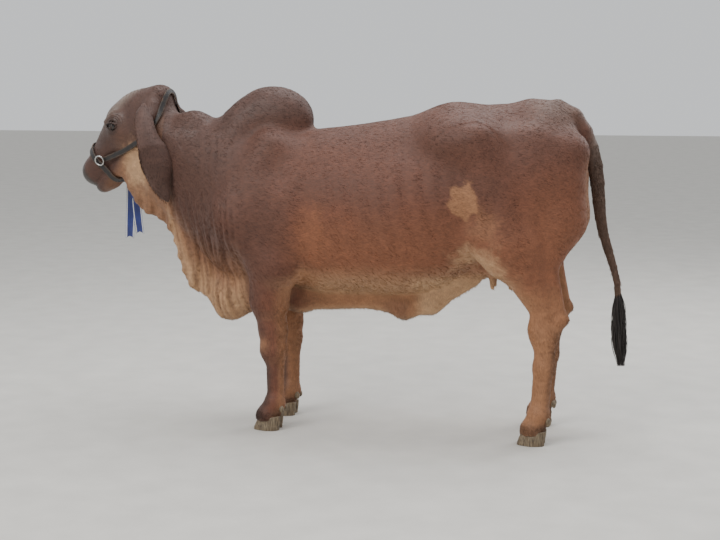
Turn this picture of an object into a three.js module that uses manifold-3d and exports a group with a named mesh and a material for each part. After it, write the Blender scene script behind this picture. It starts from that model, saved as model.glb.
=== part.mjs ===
// A life-size still model of a red zebu cow standing square, with its head held up on a show halter.
// Millimetres, +Z up, the head towards -X and the animal's left side towards -Y.
// The flesh is one smooth field of named masses, wrapped in a faceted skin and parted by thin cuts.
// Ears, eyes, claws, tail tassel, halter and ribbon are pieces of their own set on that skin.
import * as THREE from 'three';
import { mergeVertices } from 'three/addons/utils/BufferGeometryUtils.js';
import Module from 'manifold-3d';

const wasm = await Module();
wasm.setup();

// Driving dimensions
const HUMP_TOP = 1458;
const BACK_LOW = 1282;
const CROUP_TOP = 1400;
const CHEST_FLOOR = 585;
const BARREL_HALF_WIDTH = 300;
const HEAD_LENGTH = 575;
const HEAD_PITCH = 44.5;
const HEAD_YAW = 18;
const KNEE_HEIGHT = 352;
const HOCK_HEIGHT = 480;
const FORE_HALF_STANCE = 135;
const HIND_HALF_STANCE = 160;
const CORONET_HEIGHT = 58;
const CUT = 0.3;
const LEFT = -1;
const RIGHT = 1;
const SIDES = [[LEFT, 'left'], [RIGHT, 'right']];

const at = (x, y, z) => new THREE.Vector3(x, y, z);

// The field: rods and masses that melt into one another

const clamp = (t) => Math.min(1, Math.max(0, t));
const smoothMin = (a, b, k) => {
  const h = Math.max(k - Math.abs(a - b), 0) / k;
  return Math.min(a, b) - h * h * k * 0.25;
};

// A tapering rod from a to b. flat thins it along the frame's Y, as a blade or a fold is thin.
function rod(a, b, ra, rb, { k = 40, flat = 1, frame = null, carve = false } = {}) {
  const inverse = frame ? frame.clone().invert() : null;
  const reach = Math.max(ra, rb) + k;
  const corners = [a, b].map((p) => (frame ? p.clone().applyMatrix4(frame) : p));
  const box = new THREE.Box3().setFromPoints(corners).expandByScalar(reach);
  const [ax, ay, az] = [a.x, a.y / flat, a.z];
  const [bx, by, bz] = [b.x - a.x, (b.y - a.y) / flat, b.z - a.z];
  const length2 = bx * bx + by * by + bz * bz;
  const q = at(0, 0, 0);
  const distance = (x, y, z) => {
    q.set(x, y, z);
    if (inverse) q.applyMatrix4(inverse);
    const px = q.x - ax;
    const py = q.y / flat - ay;
    const pz = q.z - az;
    const t = clamp((px * bx + py * by + pz * bz) / length2);
    const dx = px - t * bx;
    const dy = py - t * by;
    const dz = pz - t * bz;
    const r = Math.hypot(dx, dy, dz) + 1e-9;
    return (r - (ra + t * (rb - ra))) / Math.hypot(dx / r, dy / r / flat, dz / r);
  };
  return { distance, k, box, carve };
}

// An egg-shaped mass with three half-sizes, turned by Euler angles in degrees.
function mass(centre, [rx, ry, rz], { k = 50, turn = [0, 0, 0], frame = null, carve = false } = {}) {
  const own = new THREE.Matrix4().makeRotationFromEuler(new THREE.Euler(...turn.map(THREE.MathUtils.degToRad)));
  own.setPosition(centre);
  if (frame) own.premultiply(frame);
  const inverse = own.clone().invert();
  const reach = Math.max(rx, ry, rz) + k;
  const box = new THREE.Box3().setFromCenterAndSize(at(0, 0, 0).applyMatrix4(own), at(2, 2, 2).multiplyScalar(reach));
  const q = at(0, 0, 0);
  const distance = (x, y, z) => {
    q.set(x, y, z).applyMatrix4(inverse);
    const k0 = Math.hypot(q.x / rx, q.y / ry, q.z / rz);
    const k1 = Math.hypot(q.x / (rx * rx), q.y / (ry * ry), q.z / (rz * rz)) + 1e-9;
    return (k0 * (k0 - 1)) / k1;
  };
  return { distance, k, box, carve };
}

const FAR = 200;

function field(pieces) {
  return (x, y, z) => {
    let d = FAR;
    for (const { distance, k, box, carve } of pieces) {
      if (x < box.min.x || x > box.max.x || y < box.min.y || y > box.max.y || z < box.min.z || z > box.max.z) {
        continue;
      }
      const own = distance(x, y, z);
      d = carve ? -smoothMin(-d, own, k) : smoothMin(d, own, k);
    }
    return d;
  };
}

// A closed faceted skin on the field's zero surface: one vertex in each crossed cell, moved onto the surface.
function wrap(f, low, high, cell) {
  const n = [0, 1, 2].map((i) => Math.ceil((high.getComponent(i) - low.getComponent(i)) / cell.getComponent(i)) + 1);
  const index = (i, j, k) => i + n[0] * (j + n[1] * k);
  const values = new Float64Array(n[0] * n[1] * n[2]);
  const inner = (i, m) => i > 0 && i < m - 1;
  for (let k = 0; k < n[2]; k++) {
    for (let j = 0; j < n[1]; j++) {
      for (let i = 0; i < n[0]; i++) {
        const open = inner(i, n[0]) && inner(j, n[1]) && inner(k, n[2]);
        const value = f(low.x + i * cell.x, low.y + j * cell.y, low.z + k * cell.z);
        values[index(i, j, k)] = open ? value : Math.max(value, 1);
      }
    }
  }
  const corners = [];
  for (let c = 0; c < 8; c++) corners.push([c & 1, (c >> 1) & 1, (c >> 2) & 1]);
  const edges = [];
  for (let a = 0; a < 8; a++) {
    for (const bit of [1, 2, 4]) if (!(a & bit)) edges.push([a, a | bit]);
  }
  const positions = [];
  const vertexOf = new Int32Array(values.length).fill(-1);
  const gradient = (p, step) => at(
    f(p.x + step, p.y, p.z) - f(p.x - step, p.y, p.z),
    f(p.x, p.y + step, p.z) - f(p.x, p.y - step, p.z),
    f(p.x, p.y, p.z + step) - f(p.x, p.y, p.z - step),
  ).divideScalar(2 * step);
  for (let k = 0; k < n[2] - 1; k++) {
    for (let j = 0; j < n[1] - 1; j++) {
      for (let i = 0; i < n[0] - 1; i++) {
        const value = corners.map(([a, b, c]) => values[index(i + a, j + b, k + c)]);
        const sum = at(0, 0, 0);
        let crossings = 0;
        for (const [a, b] of edges) {
          if (value[a] < 0 === value[b] < 0) continue;
          const t = value[a] / (value[a] - value[b]);
          sum.add(at(...corners[a]).lerp(at(...corners[b]), t));
          crossings++;
        }
        if (!crossings) continue;
        sum.divideScalar(crossings);
        const p = at(low.x + (i + sum.x) * cell.x, low.y + (j + sum.y) * cell.y, low.z + (k + sum.z) * cell.z);
        const settled = p.clone();
        for (let step = 0; step < 3; step++) {
          const g = gradient(settled, 1);
          const length2 = Math.max(g.lengthSq(), 0.05);
          settled.addScaledVector(g, -f(settled.x, settled.y, settled.z) / length2);
        }
        const near = at(low.x + (i + 0.06) * cell.x, low.y + (j + 0.06) * cell.y, low.z + (k + 0.06) * cell.z);
        const beyond = near.clone().addScaledVector(cell, 0.88);
        if (settled.distanceTo(p) < 0.5 * Math.min(cell.x, cell.y, cell.z)) p.copy(settled.clamp(near, beyond));
        vertexOf[index(i, j, k)] = positions.length / 3;
        positions.push(p.x, p.y, p.z);
      }
    }
  }
  const faces = [];
  const quad = (a, b, c, d, flip) => {
    const [p, q, r, s] = [a, b, c, d].map((v) => at(...positions.slice(3 * v, 3 * v + 3)));
    const short = p.distanceTo(r) < q.distanceTo(s);
    const pair = short ? [[a, b, c], [a, c, d]] : [[b, c, d], [b, d, a]];
    for (const [u, v, w] of pair) faces.push(...(flip ? [u, w, v] : [u, v, w]));
  };
  for (let k = 0; k < n[2] - 1; k++) {
    for (let j = 0; j < n[1] - 1; j++) {
      for (let i = 0; i < n[0] - 1; i++) {
        const here = values[index(i, j, k)] < 0;
        const v = (a, b, c) => vertexOf[index(i + a, j + b, k + c)];
        if (here !== values[index(i + 1, j, k)] < 0) {
          quad(v(0, -1, -1), v(0, 0, -1), v(0, 0, 0), v(0, -1, 0), !here);
        }
        if (here !== values[index(i, j + 1, k)] < 0) {
          quad(v(-1, 0, -1), v(-1, 0, 0), v(0, 0, 0), v(0, 0, -1), !here);
        }
        if (here !== values[index(i, j, k + 1)] < 0) {
          quad(v(-1, -1, 0), v(0, -1, 0), v(0, 0, 0), v(-1, 0, 0), !here);
        }
      }
    }
  }
  const geometry = new THREE.BufferGeometry();
  geometry.setAttribute('position', new THREE.Float32BufferAttribute(positions, 3));
  geometry.setIndex(faces);
  return geometry;
}

// Solids

function solid(geometry) {
  const bare = geometry.index ? geometry.toNonIndexed() : geometry.clone();
  for (const name of Object.keys(bare.attributes)) if (name !== 'position') bare.deleteAttribute(name);
  const merged = mergeVertices(bare, 1e-3);
  const mesh = new wasm.Mesh({
    numProp: 3,
    vertProperties: new Float32Array(merged.attributes.position.array),
    triVerts: new Uint32Array(merged.index.array),
  });
  return new wasm.Manifold(mesh);
}

function geometryOf(manifold) {
  const { vertProperties, triVerts } = manifold.getMesh();
  const geometry = new THREE.BufferGeometry();
  geometry.setAttribute('position', new THREE.BufferAttribute(new Float32Array(vertProperties), 3));
  geometry.setIndex(new THREE.BufferAttribute(new Uint32Array(triVerts), 1));
  return geometry;
}

const largest = (manifold) => manifold.decompose().sort((a, b) => b.volume() - a.volume())[0];

// A block that fills the half of space behind a plane, for cutting.
function behind(point, normal, reach = 3000) {
  const block = new THREE.BoxGeometry(reach, reach, reach);
  block.translate(0, 0, -reach / 2);
  const turn = new THREE.Quaternion().setFromUnitVectors(at(0, 0, 1), normal.clone().normalize());
  block.applyQuaternion(turn);
  block.translate(point.x, point.y, point.z);
  return solid(block);
}

const keepAhead = (body, point, normal) => {
  const n = normal.clone().normalize();
  return body.subtract(behind(point.clone().addScaledVector(n, CUT / 2), n));
};
const keepBehind = (body, point, normal) => keepAhead(body, point, normal.clone().negate());

// The head's own frame: x is minus the way along the head from the poll, z is up from the poll-muzzle line.
const headFrame = new THREE.Matrix4().makeRotationFromEuler(new THREE.Euler(
  0,
  THREE.MathUtils.degToRad(-HEAD_PITCH),
  THREE.MathUtils.degToRad(-HEAD_YAW),
  'ZYX',
));
headFrame.setPosition(-1034, 50, 1448);
const onHead = (along, side, up) => at(-along, side, up);
const headPoint = (along, side, up) => onHead(along, side, up).applyMatrix4(headFrame);

// Flesh masses, part by part

function trunk() {
  const pieces = [
    mass(at(-260, 0, 925), [400, 262, 340], { k: 60 }),
    mass(at(50, 0, 925), [400, BARREL_HALF_WIDTH, 925 - CHEST_FLOOR], { k: 90 }),
    mass(at(310, 0, 995), [270, 255, 272], { k: 100 }),
    rod(at(-330, 0, BACK_LOW - 165), at(280, 0, CROUP_TOP - 168), 130, 140, { k: 80 }),
    rod(at(280, 0, CROUP_TOP - 160), at(650, 0, CROUP_TOP - 138), 138, 134, { k: 80 }),
    rod(at(600, 0, 1330), at(735, 0, 1320), 66, 48, { k: 60 }),
    mass(at(-560, 0, 900), [180, 190, 280], { k: 90 }),
  ];
  for (const side of [LEFT, RIGHT]) {
    pieces.push(mass(at(345, side * 150, 1238), [150, 98, 84], { k: 110 }));
    pieces.push(rod(at(660, side * 70, 1235), at(776, side * 104, 1212), 88, 44, { k: 70 }));
  }
  return pieces;
}

function shoulder(side) {
  return [
    rod(at(-490, side * 92, 1195), at(-630, side * 160, 930), 84, 96, { k: 100 }),
    mass(at(-605, side * 175, 895), [105, 72, 120], { k: 60 }),
    mass(at(-455, side * 188, 880), [140, 70, 190], { k: 60, turn: [0, -20, 0] }),
    rod(at(-600, side * 180, 870), at(-450, side * 175, 720), 80, 82, { k: 50 }),
  ];
}

function foreleg(side) {
  const y = side * FORE_HALF_STANCE;
  return [
    rod(at(-468, side * 165, 700), at(-484, side * 150, 560), 104, 80, { k: 50, flat: 0.86 }),
    rod(at(-484, side * 150, 560), at(-473, y, 430), 80, 58, { k: 30, flat: 0.86 }),
    rod(at(-473, y, 430), at(-470, y, KNEE_HEIGHT), 58, 54, { k: 30, flat: 0.9 }),
    mass(at(-474, y, KNEE_HEIGHT - 8), [55, 48, 62], { k: 25 }),
    rod(at(-464, y, KNEE_HEIGHT - 60), at(-464, y, 165), 41, 38, { k: 25, flat: 0.8 }),
    mass(at(-468, y, 112), [46, 41, 44], { k: 25 }),
    rod(at(-470, y, 115), at(-497, y, CORONET_HEIGHT), 40, 44, { k: 20, flat: 1.08 }),
    rod(at(-500, y, CORONET_HEIGHT), at(-502, y, 20), 50, 52, { k: 20, flat: 1.08 }),
  ];
}

function hindQuarter(side) {
  return [
    mass(at(585, side * 150, 1040), [215, 98, 250], { k: 70, turn: [0, 8, 0] }),
    rod(at(750, side * 96, 1180), at(735, side * 118, 920), 82, 88, { k: 60 }),
    rod(at(735, side * 118, 920), at(690, side * 145, 800), 88, 70, { k: 60 }),
    rod(at(395, side * 190, 1240), at(520, side * 180, 850), 60, 98, { k: 80 }),
    mass(at(545, side * 182, 820), [100, 70, 130], { k: 60, turn: [0, -12, 0] }),
    rod(at(400, side * 205, 850), at(480, side * 175, 740), 30, 30, { k: 90 }),
  ];
}

function hindLeg(side) {
  const y = side * HIND_HALF_STANCE;
  return [
    rod(at(560, side * 178, 800), at(668, y, 555), 112, 52, { k: 50, flat: 0.78 }),
    rod(at(698, side * 165, 730), at(745, y, 528), 26, 21, { k: 40 }),
    mass(at(668, y, HOCK_HEIGHT - 10), [62, 44, 78], { k: 35, turn: [0, -14, 0] }),
    rod(at(700, y, HOCK_HEIGHT), at(748, y, 520), 38, 25, { k: 25, flat: 0.75 }),
    rod(at(680, y, 430), at(674, y, 320), 47, 41, { k: 30, flat: 0.78 }),
    rod(at(674, y, 320), at(664, y, 180), 41, 40, { k: 25, flat: 0.82 }),
    mass(at(660, y, 124), [48, 43, 46], { k: 25 }),
    rod(at(656, y, 122), at(636, y, CORONET_HEIGHT + 4), 41, 46, { k: 20, flat: 1.06 }),
    rod(at(634, y, CORONET_HEIGHT + 4), at(630, y, 20), 50, 52, { k: 20, flat: 1.06 }),
  ];
}

function hump() {
  return [
    mass(at(-500, 0, HUMP_TOP - 138), [176, 98, 138], { k: 40 }),
    mass(at(-640, 0, 1280), [95, 88, 92], { k: 60 }),
  ];
}

function neck() {
  return [
    rod(at(-960, 25, 1245), at(-690, 0, 1125), 100, 190, { k: 60, flat: 0.82 }),
    rod(at(-1020, 34, 1170), at(-650, 0, 990), 104, 215, { k: 80, flat: 0.86 }),
    rod(at(-1085, 45, 1090), at(-640, 0, 840), 78, 205, { k: 80, flat: 0.8 }),
    mass(at(-850, 0, 1285), [70, 52, 66], { k: 50 }),
  ];
}

// The lower edge of the dewlap from the throat to the brisket, and how thick it hangs there.
const dewlapEdge = new THREE.CatmullRomCurve3([
  at(-1208, 62, 1052),
  at(-1170, 50, 985),
  at(-1112, 40, 905),
  at(-1030, 34, 870),
  at(-968, 24, 800),
  at(-930, 12, 690),
  at(-885, 4, 580),
  at(-815, 0, 545),
  at(-762, 0, 520),
  at(-722, 0, 470),
  at(-660, 0, 475),
  at(-618, 0, 530),
]);

const FOLDS = 29;
const FOLD_THICKNESS = 21;

function dewlap() {
  const pieces = [];
  for (let i = 0; i < FOLDS; i++) {
    const t = i / (FOLDS - 1);
    const low = dewlapEdge.getPointAt(t);
    const sway = (i % 2 ? 1 : -1) * 11 * Math.sin(Math.PI * clamp(0.1 + t));
    const rise = 90 + 110 * Math.sin(Math.PI * clamp(t * 1.05));
    const foot = at(low.x + 10, low.y + sway, low.z + FOLD_THICKNESS);
    const root = at(low.x + 50 + 30 * t, low.y * 0.8 + sway * 0.4, low.z + rise);
    pieces.push(rod(foot, root, FOLD_THICKNESS, FOLD_THICKNESS + 20, { k: 24, flat: 0.9 }));
  }
  pieces.push(mass(at(-705, 0, 505), [62, 46, 58], { k: 40 }));
  pieces.push(rod(at(-700, 0, 560), at(-520, 0, 610), 75, 90, { k: 70 }));
  return pieces;
}

function underline() {
  return [
    rod(at(-560, 0, 590), at(-390, 0, 548), 75, 52, { k: 60, flat: 0.8 }),
    rod(at(-390, 0, 548), at(-30, 0, 562), 50, 46, { k: 50, flat: 0.72 }),
    rod(at(-30, 0, 562), at(70, 0, 530), 46, 50, { k: 40, flat: 0.62 }),
    rod(at(70, 0, 530), at(180, 0, 560), 50, 52, { k: 40, flat: 0.55 }),
    rod(at(180, 0, 560), at(340, 0, 672), 50, 60, { k: 50, flat: 0.6 }),
    mass(at(470, 0, 740), [130, 92, 78], { k: 50 }),
  ];
}

function teats() {
  const pieces = [];
  for (const side of [LEFT, RIGHT]) {
    for (const x of [445, 520]) {
      pieces.push(rod(at(x, side * 38, 690), at(x + 4, side * 42, 628), 17, 10, { k: 16 }));
    }
  }
  return pieces;
}

function head() {
  const frame = headFrame;
  const tip = HEAD_LENGTH;
  const pieces = [
    mass(onHead(95, 0, -45), [118, 90, 96], { k: 40, frame }),
    mass(onHead(190, 0, 14), [132, 80, 92], { k: 50, frame }),
    mass(onHead(12, 0, -34), [44, 60, 36], { k: 40, frame }),
    rod(onHead(250, 0, 40), onHead(tip - 75, 0, -12), 68, 56, { k: 40, frame }),
    mass(onHead(tip - 52, 0, -22), [54, 70, 60], { k: 36, frame }),
    mass(onHead(tip - 66, 0, -92), [58, 46, 38], { k: 26, frame }),
    rod(onHead(110, 0, -105), onHead(300, 0, -92), 78, 62, { k: 50, frame }),
    rod(onHead(300, 0, -92), onHead(tip - 90, 0, -88), 58, 44, { k: 30, frame }),
  ];
  for (const [side] of SIDES) {
    pieces.push(mass(onHead(222, side * 80, 16), [52, 34, 34], { k: 30, frame, turn: [0, -12, 0] }));
    pieces.push(rod(onHead(250, side * 46, -22), onHead(tip - 90, side * 28, -30), 58, 44, { k: 40, frame }));
    pieces.push(mass(onHead(205, side * 64, -78), [90, 38, 88], { k: 40, frame }));
    pieces.push(rod(onHead(232, side * 58, -132), onHead(tip - 100, side * 22, -104), 38, 30, { k: 30, frame }));
  }
  return pieces;
}


// The tail hangs from the croup as a tapering tube along this line.
const tailLine = new THREE.CatmullRomCurve3([
  at(700, 0, 1362),
  at(776, 0, 1318),
  at(826, 0, 1232),
  at(860, 0, 1120),
  at(874, 0, 1010),
  at(892, 0, 880),
  at(930, 0, 760),
  at(958, 0, 660),
  at(964, 0, 590),
]);
const tailRadius = (t) => 34 * (1 - t) ** 1.3 + 12;


function tailTube() {
  const steps = 16;
  const rings = [];
  for (let i = 0; i <= steps; i++) {
    const t = i / steps;
    const along = tailLine.getTangent(t);
    const across = at(0, 1, 0);
    const out = along.clone().cross(across).normalize();
    const r = tailRadius(t);
    const ring = [];
    for (let j = 0; j < 12; j++) {
      const a = (2 * Math.PI * j) / 12;
      ring.push(tailLine.getPoint(t).addScaledVector(across, r * Math.cos(a)).addScaledVector(out, r * Math.sin(a)));
    }
    rings.push(ring);
  }
  return loft(rings);
}

const flesh = [
  ...trunk(),
  ...SIDES.flatMap(([side]) => [...shoulder(side), ...hindQuarter(side)]),
  ...SIDES.flatMap(([side]) => [...foreleg(side), ...hindLeg(side)]),
  ...neck(),
  ...hump(),
  ...underline(),
  ...teats(),
  ...dewlap(),
  ...head(),
];
const body = field(flesh);

// True where every edge of the skin is shared by exactly two facets.
function isSound(geometry) {
  const count = new Map();
  const faces = geometry.index.array;
  for (let i = 0; i < faces.length; i += 3) {
    for (const [a, b] of [[0, 1], [1, 2], [2, 0]]) {
      const [u, v] = [faces[i + a], faces[i + b]];
      const key = Math.min(u, v) * 1e6 + Math.max(u, v);
      count.set(key, (count.get(key) || 0) + 1);
    }
  }
  return [...count.values()].every((n) => n === 2);
}

// Wraps the field, moving the grid a few millimetres until no two sheets of skin share an edge.
function wrapped(f, low, high, cell) {
  const corner = at(...low);
  for (let attempt = 0; attempt < 12; attempt++) {
    const geometry = wrap(f, corner, at(...high), at(...cell));
    if (isSound(geometry)) return solid(geometry);
    corner.add(at(-3.1, -2.3, -2.7));
  }
  throw new Error('no sound skin was found');
}

// The same skin standing a little proud, to leave a gap under whatever rests on it.
const proud = (f, gap) => (x, y, z) => f(x, y, z) - gap;

// Regions: each is a stack of planes, and a node is the skin inside one of them

const plane = (x, y, z, nx, ny, nz) => ({ point: at(x, y, z), normal: at(nx, ny, nz).normalize() });

// The convex block ahead of every plane, with its faces moved in by a given inset.
function region(planes, inset = CUT / 2) {
  let block = solid(new THREE.BoxGeometry(6000, 6000, 6000));
  for (const { point, normal } of planes) {
    block = block.subtract(behind(point.clone().addScaledVector(normal, inset), normal, 9000));
  }
  return block;
}
const flipped = ({ point, normal }) => ({ point, normal: normal.clone().negate() });

const nape = plane(-1040, 45, 1275, -0.93, 0.29, 0.2);
const jawLine = {
  point: headPoint(350, 0, -176),
  normal: at(0.17, 0, 1).transformDirection(headFrame),
};
const throatLine = plane(-1085, 0, 1150, 0.8, 0, 0.6);
const neckRoot = plane(-738, 0, 1312, -1, 0, -0.08);
const chestFloor = plane(-690, 0, 625, 0.42, 0, 0.9);
const humpSeat = plane(-500, 0, 1312, 0, 0, 1);
const humpFront = plane(-738, 0, 1312, 1, 0, 0);
const humpRear = plane(-280, 0, 1312, -1, 0, 0);
const elbowCut = (side) => plane(-480, side * 70, 560, 0, side * 0.55, -0.835);
const armpit = (side) => plane(0, side * 62, 0, 0, side, 0);
const stifleCut = (side) => plane(560, side * 60, 612, -0.12, side * 0.5, -0.86);
const crotch = (side) => plane(0, side * 50, 0, 0, side, 0);
const forelegFront = plane(-632, 0, 0, 1, 0, 0);
const forelegRear = plane(-325, 0, 0, -1, 0, 0);
const stifleFront = plane(455, 0, 0, 1, 0, 0);
const coronet = plane(0, 0, CORONET_HEIGHT, 0, 0, 1);

const regions = {
  head: [nape, jawLine],
  neck: [flipped(nape), throatLine, neckRoot],
  hump: [humpSeat, humpFront, humpRear],
};
for (const [side, name] of SIDES) {
  regions[`foreleg_${name}`] = [elbowCut(side), armpit(side), forelegFront, forelegRear, coronet];
  regions[`hindleg_${name}`] = [stifleCut(side), crotch(side), stifleFront, coronet];
}

function inside(name, skin) {
  return largest(skin.intersect(region(regions[name])));
}
// What is left once the named regions are taken away with their gaps.
function outside(names, skin) {
  let rest = skin;
  for (const name of names) rest = rest.subtract(region(regions[name], -CUT / 2));
  return rest;
}

// Closed lofts through rings of points, for ears, claws, locks and straps

function loft(rings) {
  const count = rings[0].length;
  const positions = rings.flat().flatMap((p) => p.toArray());
  const faces = [];
  for (let r = 0; r + 1 < rings.length; r++) {
    for (let i = 0; i < count; i++) {
      const [a, b] = [r * count + i, r * count + ((i + 1) % count)];
      faces.push(a, b, b + count, a, b + count, a + count);
    }
  }
  const cap = (ring, start, flip) => {
    const centre = positions.length / 3;
    const middle = ring.reduce((sum, p) => sum.add(p), at(0, 0, 0)).divideScalar(count);
    positions.push(...middle.toArray());
    for (let i = 0; i < count; i++) {
      const [a, b] = [start + i, start + ((i + 1) % count)];
      faces.push(...(flip ? [centre, b, a] : [centre, a, b]));
    }
  };
  cap(rings[0], 0, true);
  cap(rings[rings.length - 1], (rings.length - 1) * count, false);
  const geometry = new THREE.BufferGeometry();
  geometry.setAttribute('position', new THREE.Float32BufferAttribute(positions, 3));
  geometry.setIndex(faces);
  const made = solid(geometry);
  return made.volume() > 0 ? made : solid(turnedInsideOut(geometry));
}

function turnedInsideOut(geometry) {
  const turned = geometry.clone();
  const order = Array.from(turned.index.array);
  for (let i = 0; i < order.length; i += 3) [order[i], order[i + 1]] = [order[i + 1], order[i]];
  turned.setIndex(order);
  return turned;
}

// Ears: a leaf rolled into a funnel at its root and opening towards its tip

const EAR_WIDTH = 156;
const EAR_THICKNESS = 7;

function ear(side) {
  const line = new THREE.CatmullRomCurve3([
    headPoint(48, side * 70, -70),
    headPoint(66, side * 116, -116),
    headPoint(100, side * 146, -196),
    headPoint(150, side * 150, -296),
    headPoint(205, side * 140, -370),
    headPoint(236, side * 128, -444),
  ]);
  const steps = 8;
  const arcs = 4;
  const forward = at(-1, 0, 0).transformDirection(headFrame);
  const outward = at(0, side, 0).transformDirection(headFrame);
  const rings = [];
  for (let i = 0; i <= steps; i++) {
    const t = i / steps;
    const along = line.getTangent(t);
    const open = forward.clone().multiplyScalar(1 - 0.6 * t).addScaledVector(outward, 0.9 - 2.3 * t);
    const face = open.sub(along.clone().multiplyScalar(open.dot(along))).normalize();
    const across = along.clone().cross(face).normalize();
    const curl = THREE.MathUtils.degToRad(THREE.MathUtils.lerp(280, 105, Math.min(1, t * 2.2)));
    const width = EAR_WIDTH * (0.62 + 0.38 * Math.sin(Math.PI * Math.min(1, 0.1 + t))) * (1 - t ** 4) ** 0.7 + 10;
    const radius = (width * 1.1) / curl;
    const half = (EAR_THICKNESS * (1 - 0.45 * t)) / 2;
    const centre = line.getPoint(t);
    const point = (angle, r) => centre.clone()
      .addScaledVector(face, radius * 0.6 - r * Math.cos(angle))
      .addScaledVector(across, r * Math.sin(angle));
    const ring = [];
    for (let a = 0; a <= arcs; a++) ring.push(point((a / arcs - 0.5) * curl, radius + half));
    for (let a = arcs; a >= 0; a--) ring.push(point((a / arcs - 0.5) * curl, radius - half));
    rings.push(ring);
  }
  return loft(rings);
}

// Cloven hooves: two claws joined by a low bridge between the heels

const CLAW_LENGTH = 118;
const CLAW_WIDTH = 50;
const CLEFT = 7;

function claw(centreX, centreY, outwardSign) {
  const levels = [
    [0, 1, 0],
    [14, 1, 2],
    [34, 0.94, 8],
    [CORONET_HEIGHT - CUT / 2, 0.84, 15],
  ];
  const rings = levels.map(([z, size, back]) => {
    const ring = [];
    for (let i = 0; i < 10; i++) {
      const a = (2 * Math.PI * i) / 10;
      const toe = Math.cos(a) < 0 ? 1 : 0.9;
      const x = centreX + back + Math.cos(a) * (CLAW_LENGTH / 2) * size * toe;
      const bulge = Math.sin(a) * outwardSign > 0 ? 1.15 : 0.85;
      const narrow = Math.cos(a) < 0 ? 1 + 0.35 * Math.cos(a) : 1;
      const y = centreY + Math.sin(a) * (CLAW_WIDTH / 2) * size * bulge * narrow;
      ring.push(at(x, y, z));
    }
    return ring;
  });
  return loft(rings);
}

function hoof(x, y) {
  const offset = CLAW_WIDTH / 2 + CLEFT / 2 - 3;
  const bridge = new THREE.SphereGeometry(22, 8, 6);
  bridge.translate(x + 22, y, 34);
  return claw(x, y - offset, -1)
    .add(claw(x, y + offset, 1))
    .add(solid(bridge));
}

function dewclaws(x, y, z) {
  let pair = null;
  for (const side of [LEFT, RIGHT]) {
    const horn = new THREE.ConeGeometry(15, 42, 7);
    horn.rotateX(Math.PI);
    horn.rotateY(0.3);
    horn.rotateX(side * -0.25);
    horn.translate(x, y + side * 24, z);
    pair = pair ? pair.add(solid(horn)) : solid(horn);
  }
  return pair;
}

// Tail switch: a core at half the length, with flat tapering locks laid round it

const SWITCH_TOP = 600;
const SWITCH_LENGTH = 290;
const LOCKS = 11;

function lock(root, direction, length, width, lean, spin) {
  const steps = 3;
  const rings = [];
  for (let i = 0; i <= steps; i++) {
    const t = i / steps;
    const bend = Math.sin(t * Math.PI * 0.9) * lean;
    const out = at(Math.cos(direction), Math.sin(direction), 0);
    const across = at(-Math.sin(direction + spin * t), Math.cos(direction + spin * t), 0);
    const thin = at(0, 0, 1).cross(across).normalize();
    const centre = root.clone().addScaledVector(out, bend).add(at(18 * t * t, 0, -length * t));
    const half = (width / 2) * (1 - t) ** 0.6 * (0.75 + 0.5 * Math.sin(Math.PI * t)) + 1.2;
    const depth = 4.2 * (1 - t) + 1;
    rings.push([
      centre.clone().addScaledVector(across, half),
      centre.clone().addScaledVector(thin, depth),
      centre.clone().addScaledVector(across, -half),
      centre.clone().addScaledVector(thin, -depth),
    ]);
  }
  return loft(rings);
}

function tailSwitch() {
  const top = tailLine.getPoint(1);
  const core = [];
  for (let i = 0; i <= 6; i++) {
    const t = i / 6;
    const radius = 13 + 9 * Math.sin(Math.PI * t * 0.7) - 12 * t * t;
    const ring = [];
    for (let j = 0; j < 10; j++) {
      const a = (2 * Math.PI * j) / 10;
      ring.push(at(top.x + 6 * t + radius * Math.cos(a), radius * Math.sin(a), SWITCH_TOP - 10 - t * SWITCH_LENGTH * 0.5));
    }
    core.push(ring);
  }
  let whole = loft(core);
  for (let i = 0; i < LOCKS; i++) {
    const direction = i * 2.4;
    const drop = (i / LOCKS) * SWITCH_LENGTH * 0.42;
    const out = at(Math.cos(direction), Math.sin(direction), 0);
    const root = at(top.x + 3, 0, SWITCH_TOP - 14 - drop).addScaledVector(out, 11);
    const length = Math.min(SWITCH_LENGTH - drop - 12, 150 + 22 * (i % 4));
    whole = whole.add(lock(root, direction, length, 26 + 5 * (i % 3), 10 + 3 * (i % 3), 0.5 - 0.25 * (i % 4)));
  }
  return largest(whole);
}

// Eyes: a dark ball in each socket

const EYE_RADIUS = 19;
const eyeCentre = (side) => headPoint(238, side * 101, 4);

// A lid is part of a shell round the eye, kept on one side of a slanting plane.
function lid(side, upper) {
  const centre = eyeCentre(side);
  const gaze = at(0, side * 0.82, upper ? 0.57 : -0.57).transformDirection(headFrame);
  const keep = at(0, 0, upper ? 1 : -1).transformDirection(headFrame).addScaledVector(gaze, 0.35).normalize();
  const shell = ball(centre, EYE_RADIUS + (upper ? 5 : 3.5));
  return shell.subtract(behind(centre.clone().addScaledVector(keep, upper ? 5 : 7), keep));
}

function nostril(side) {
  const hole = new THREE.SphereGeometry(1, 10, 6);
  hole.scale(17, 12, 8);
  hole.rotateY(-0.5);
  hole.rotateZ(side * 0.6);
  hole.translate(-(HEAD_LENGTH - 34), side * 40, 2);
  return solid(hole.applyMatrix4(headFrame));
}

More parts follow.
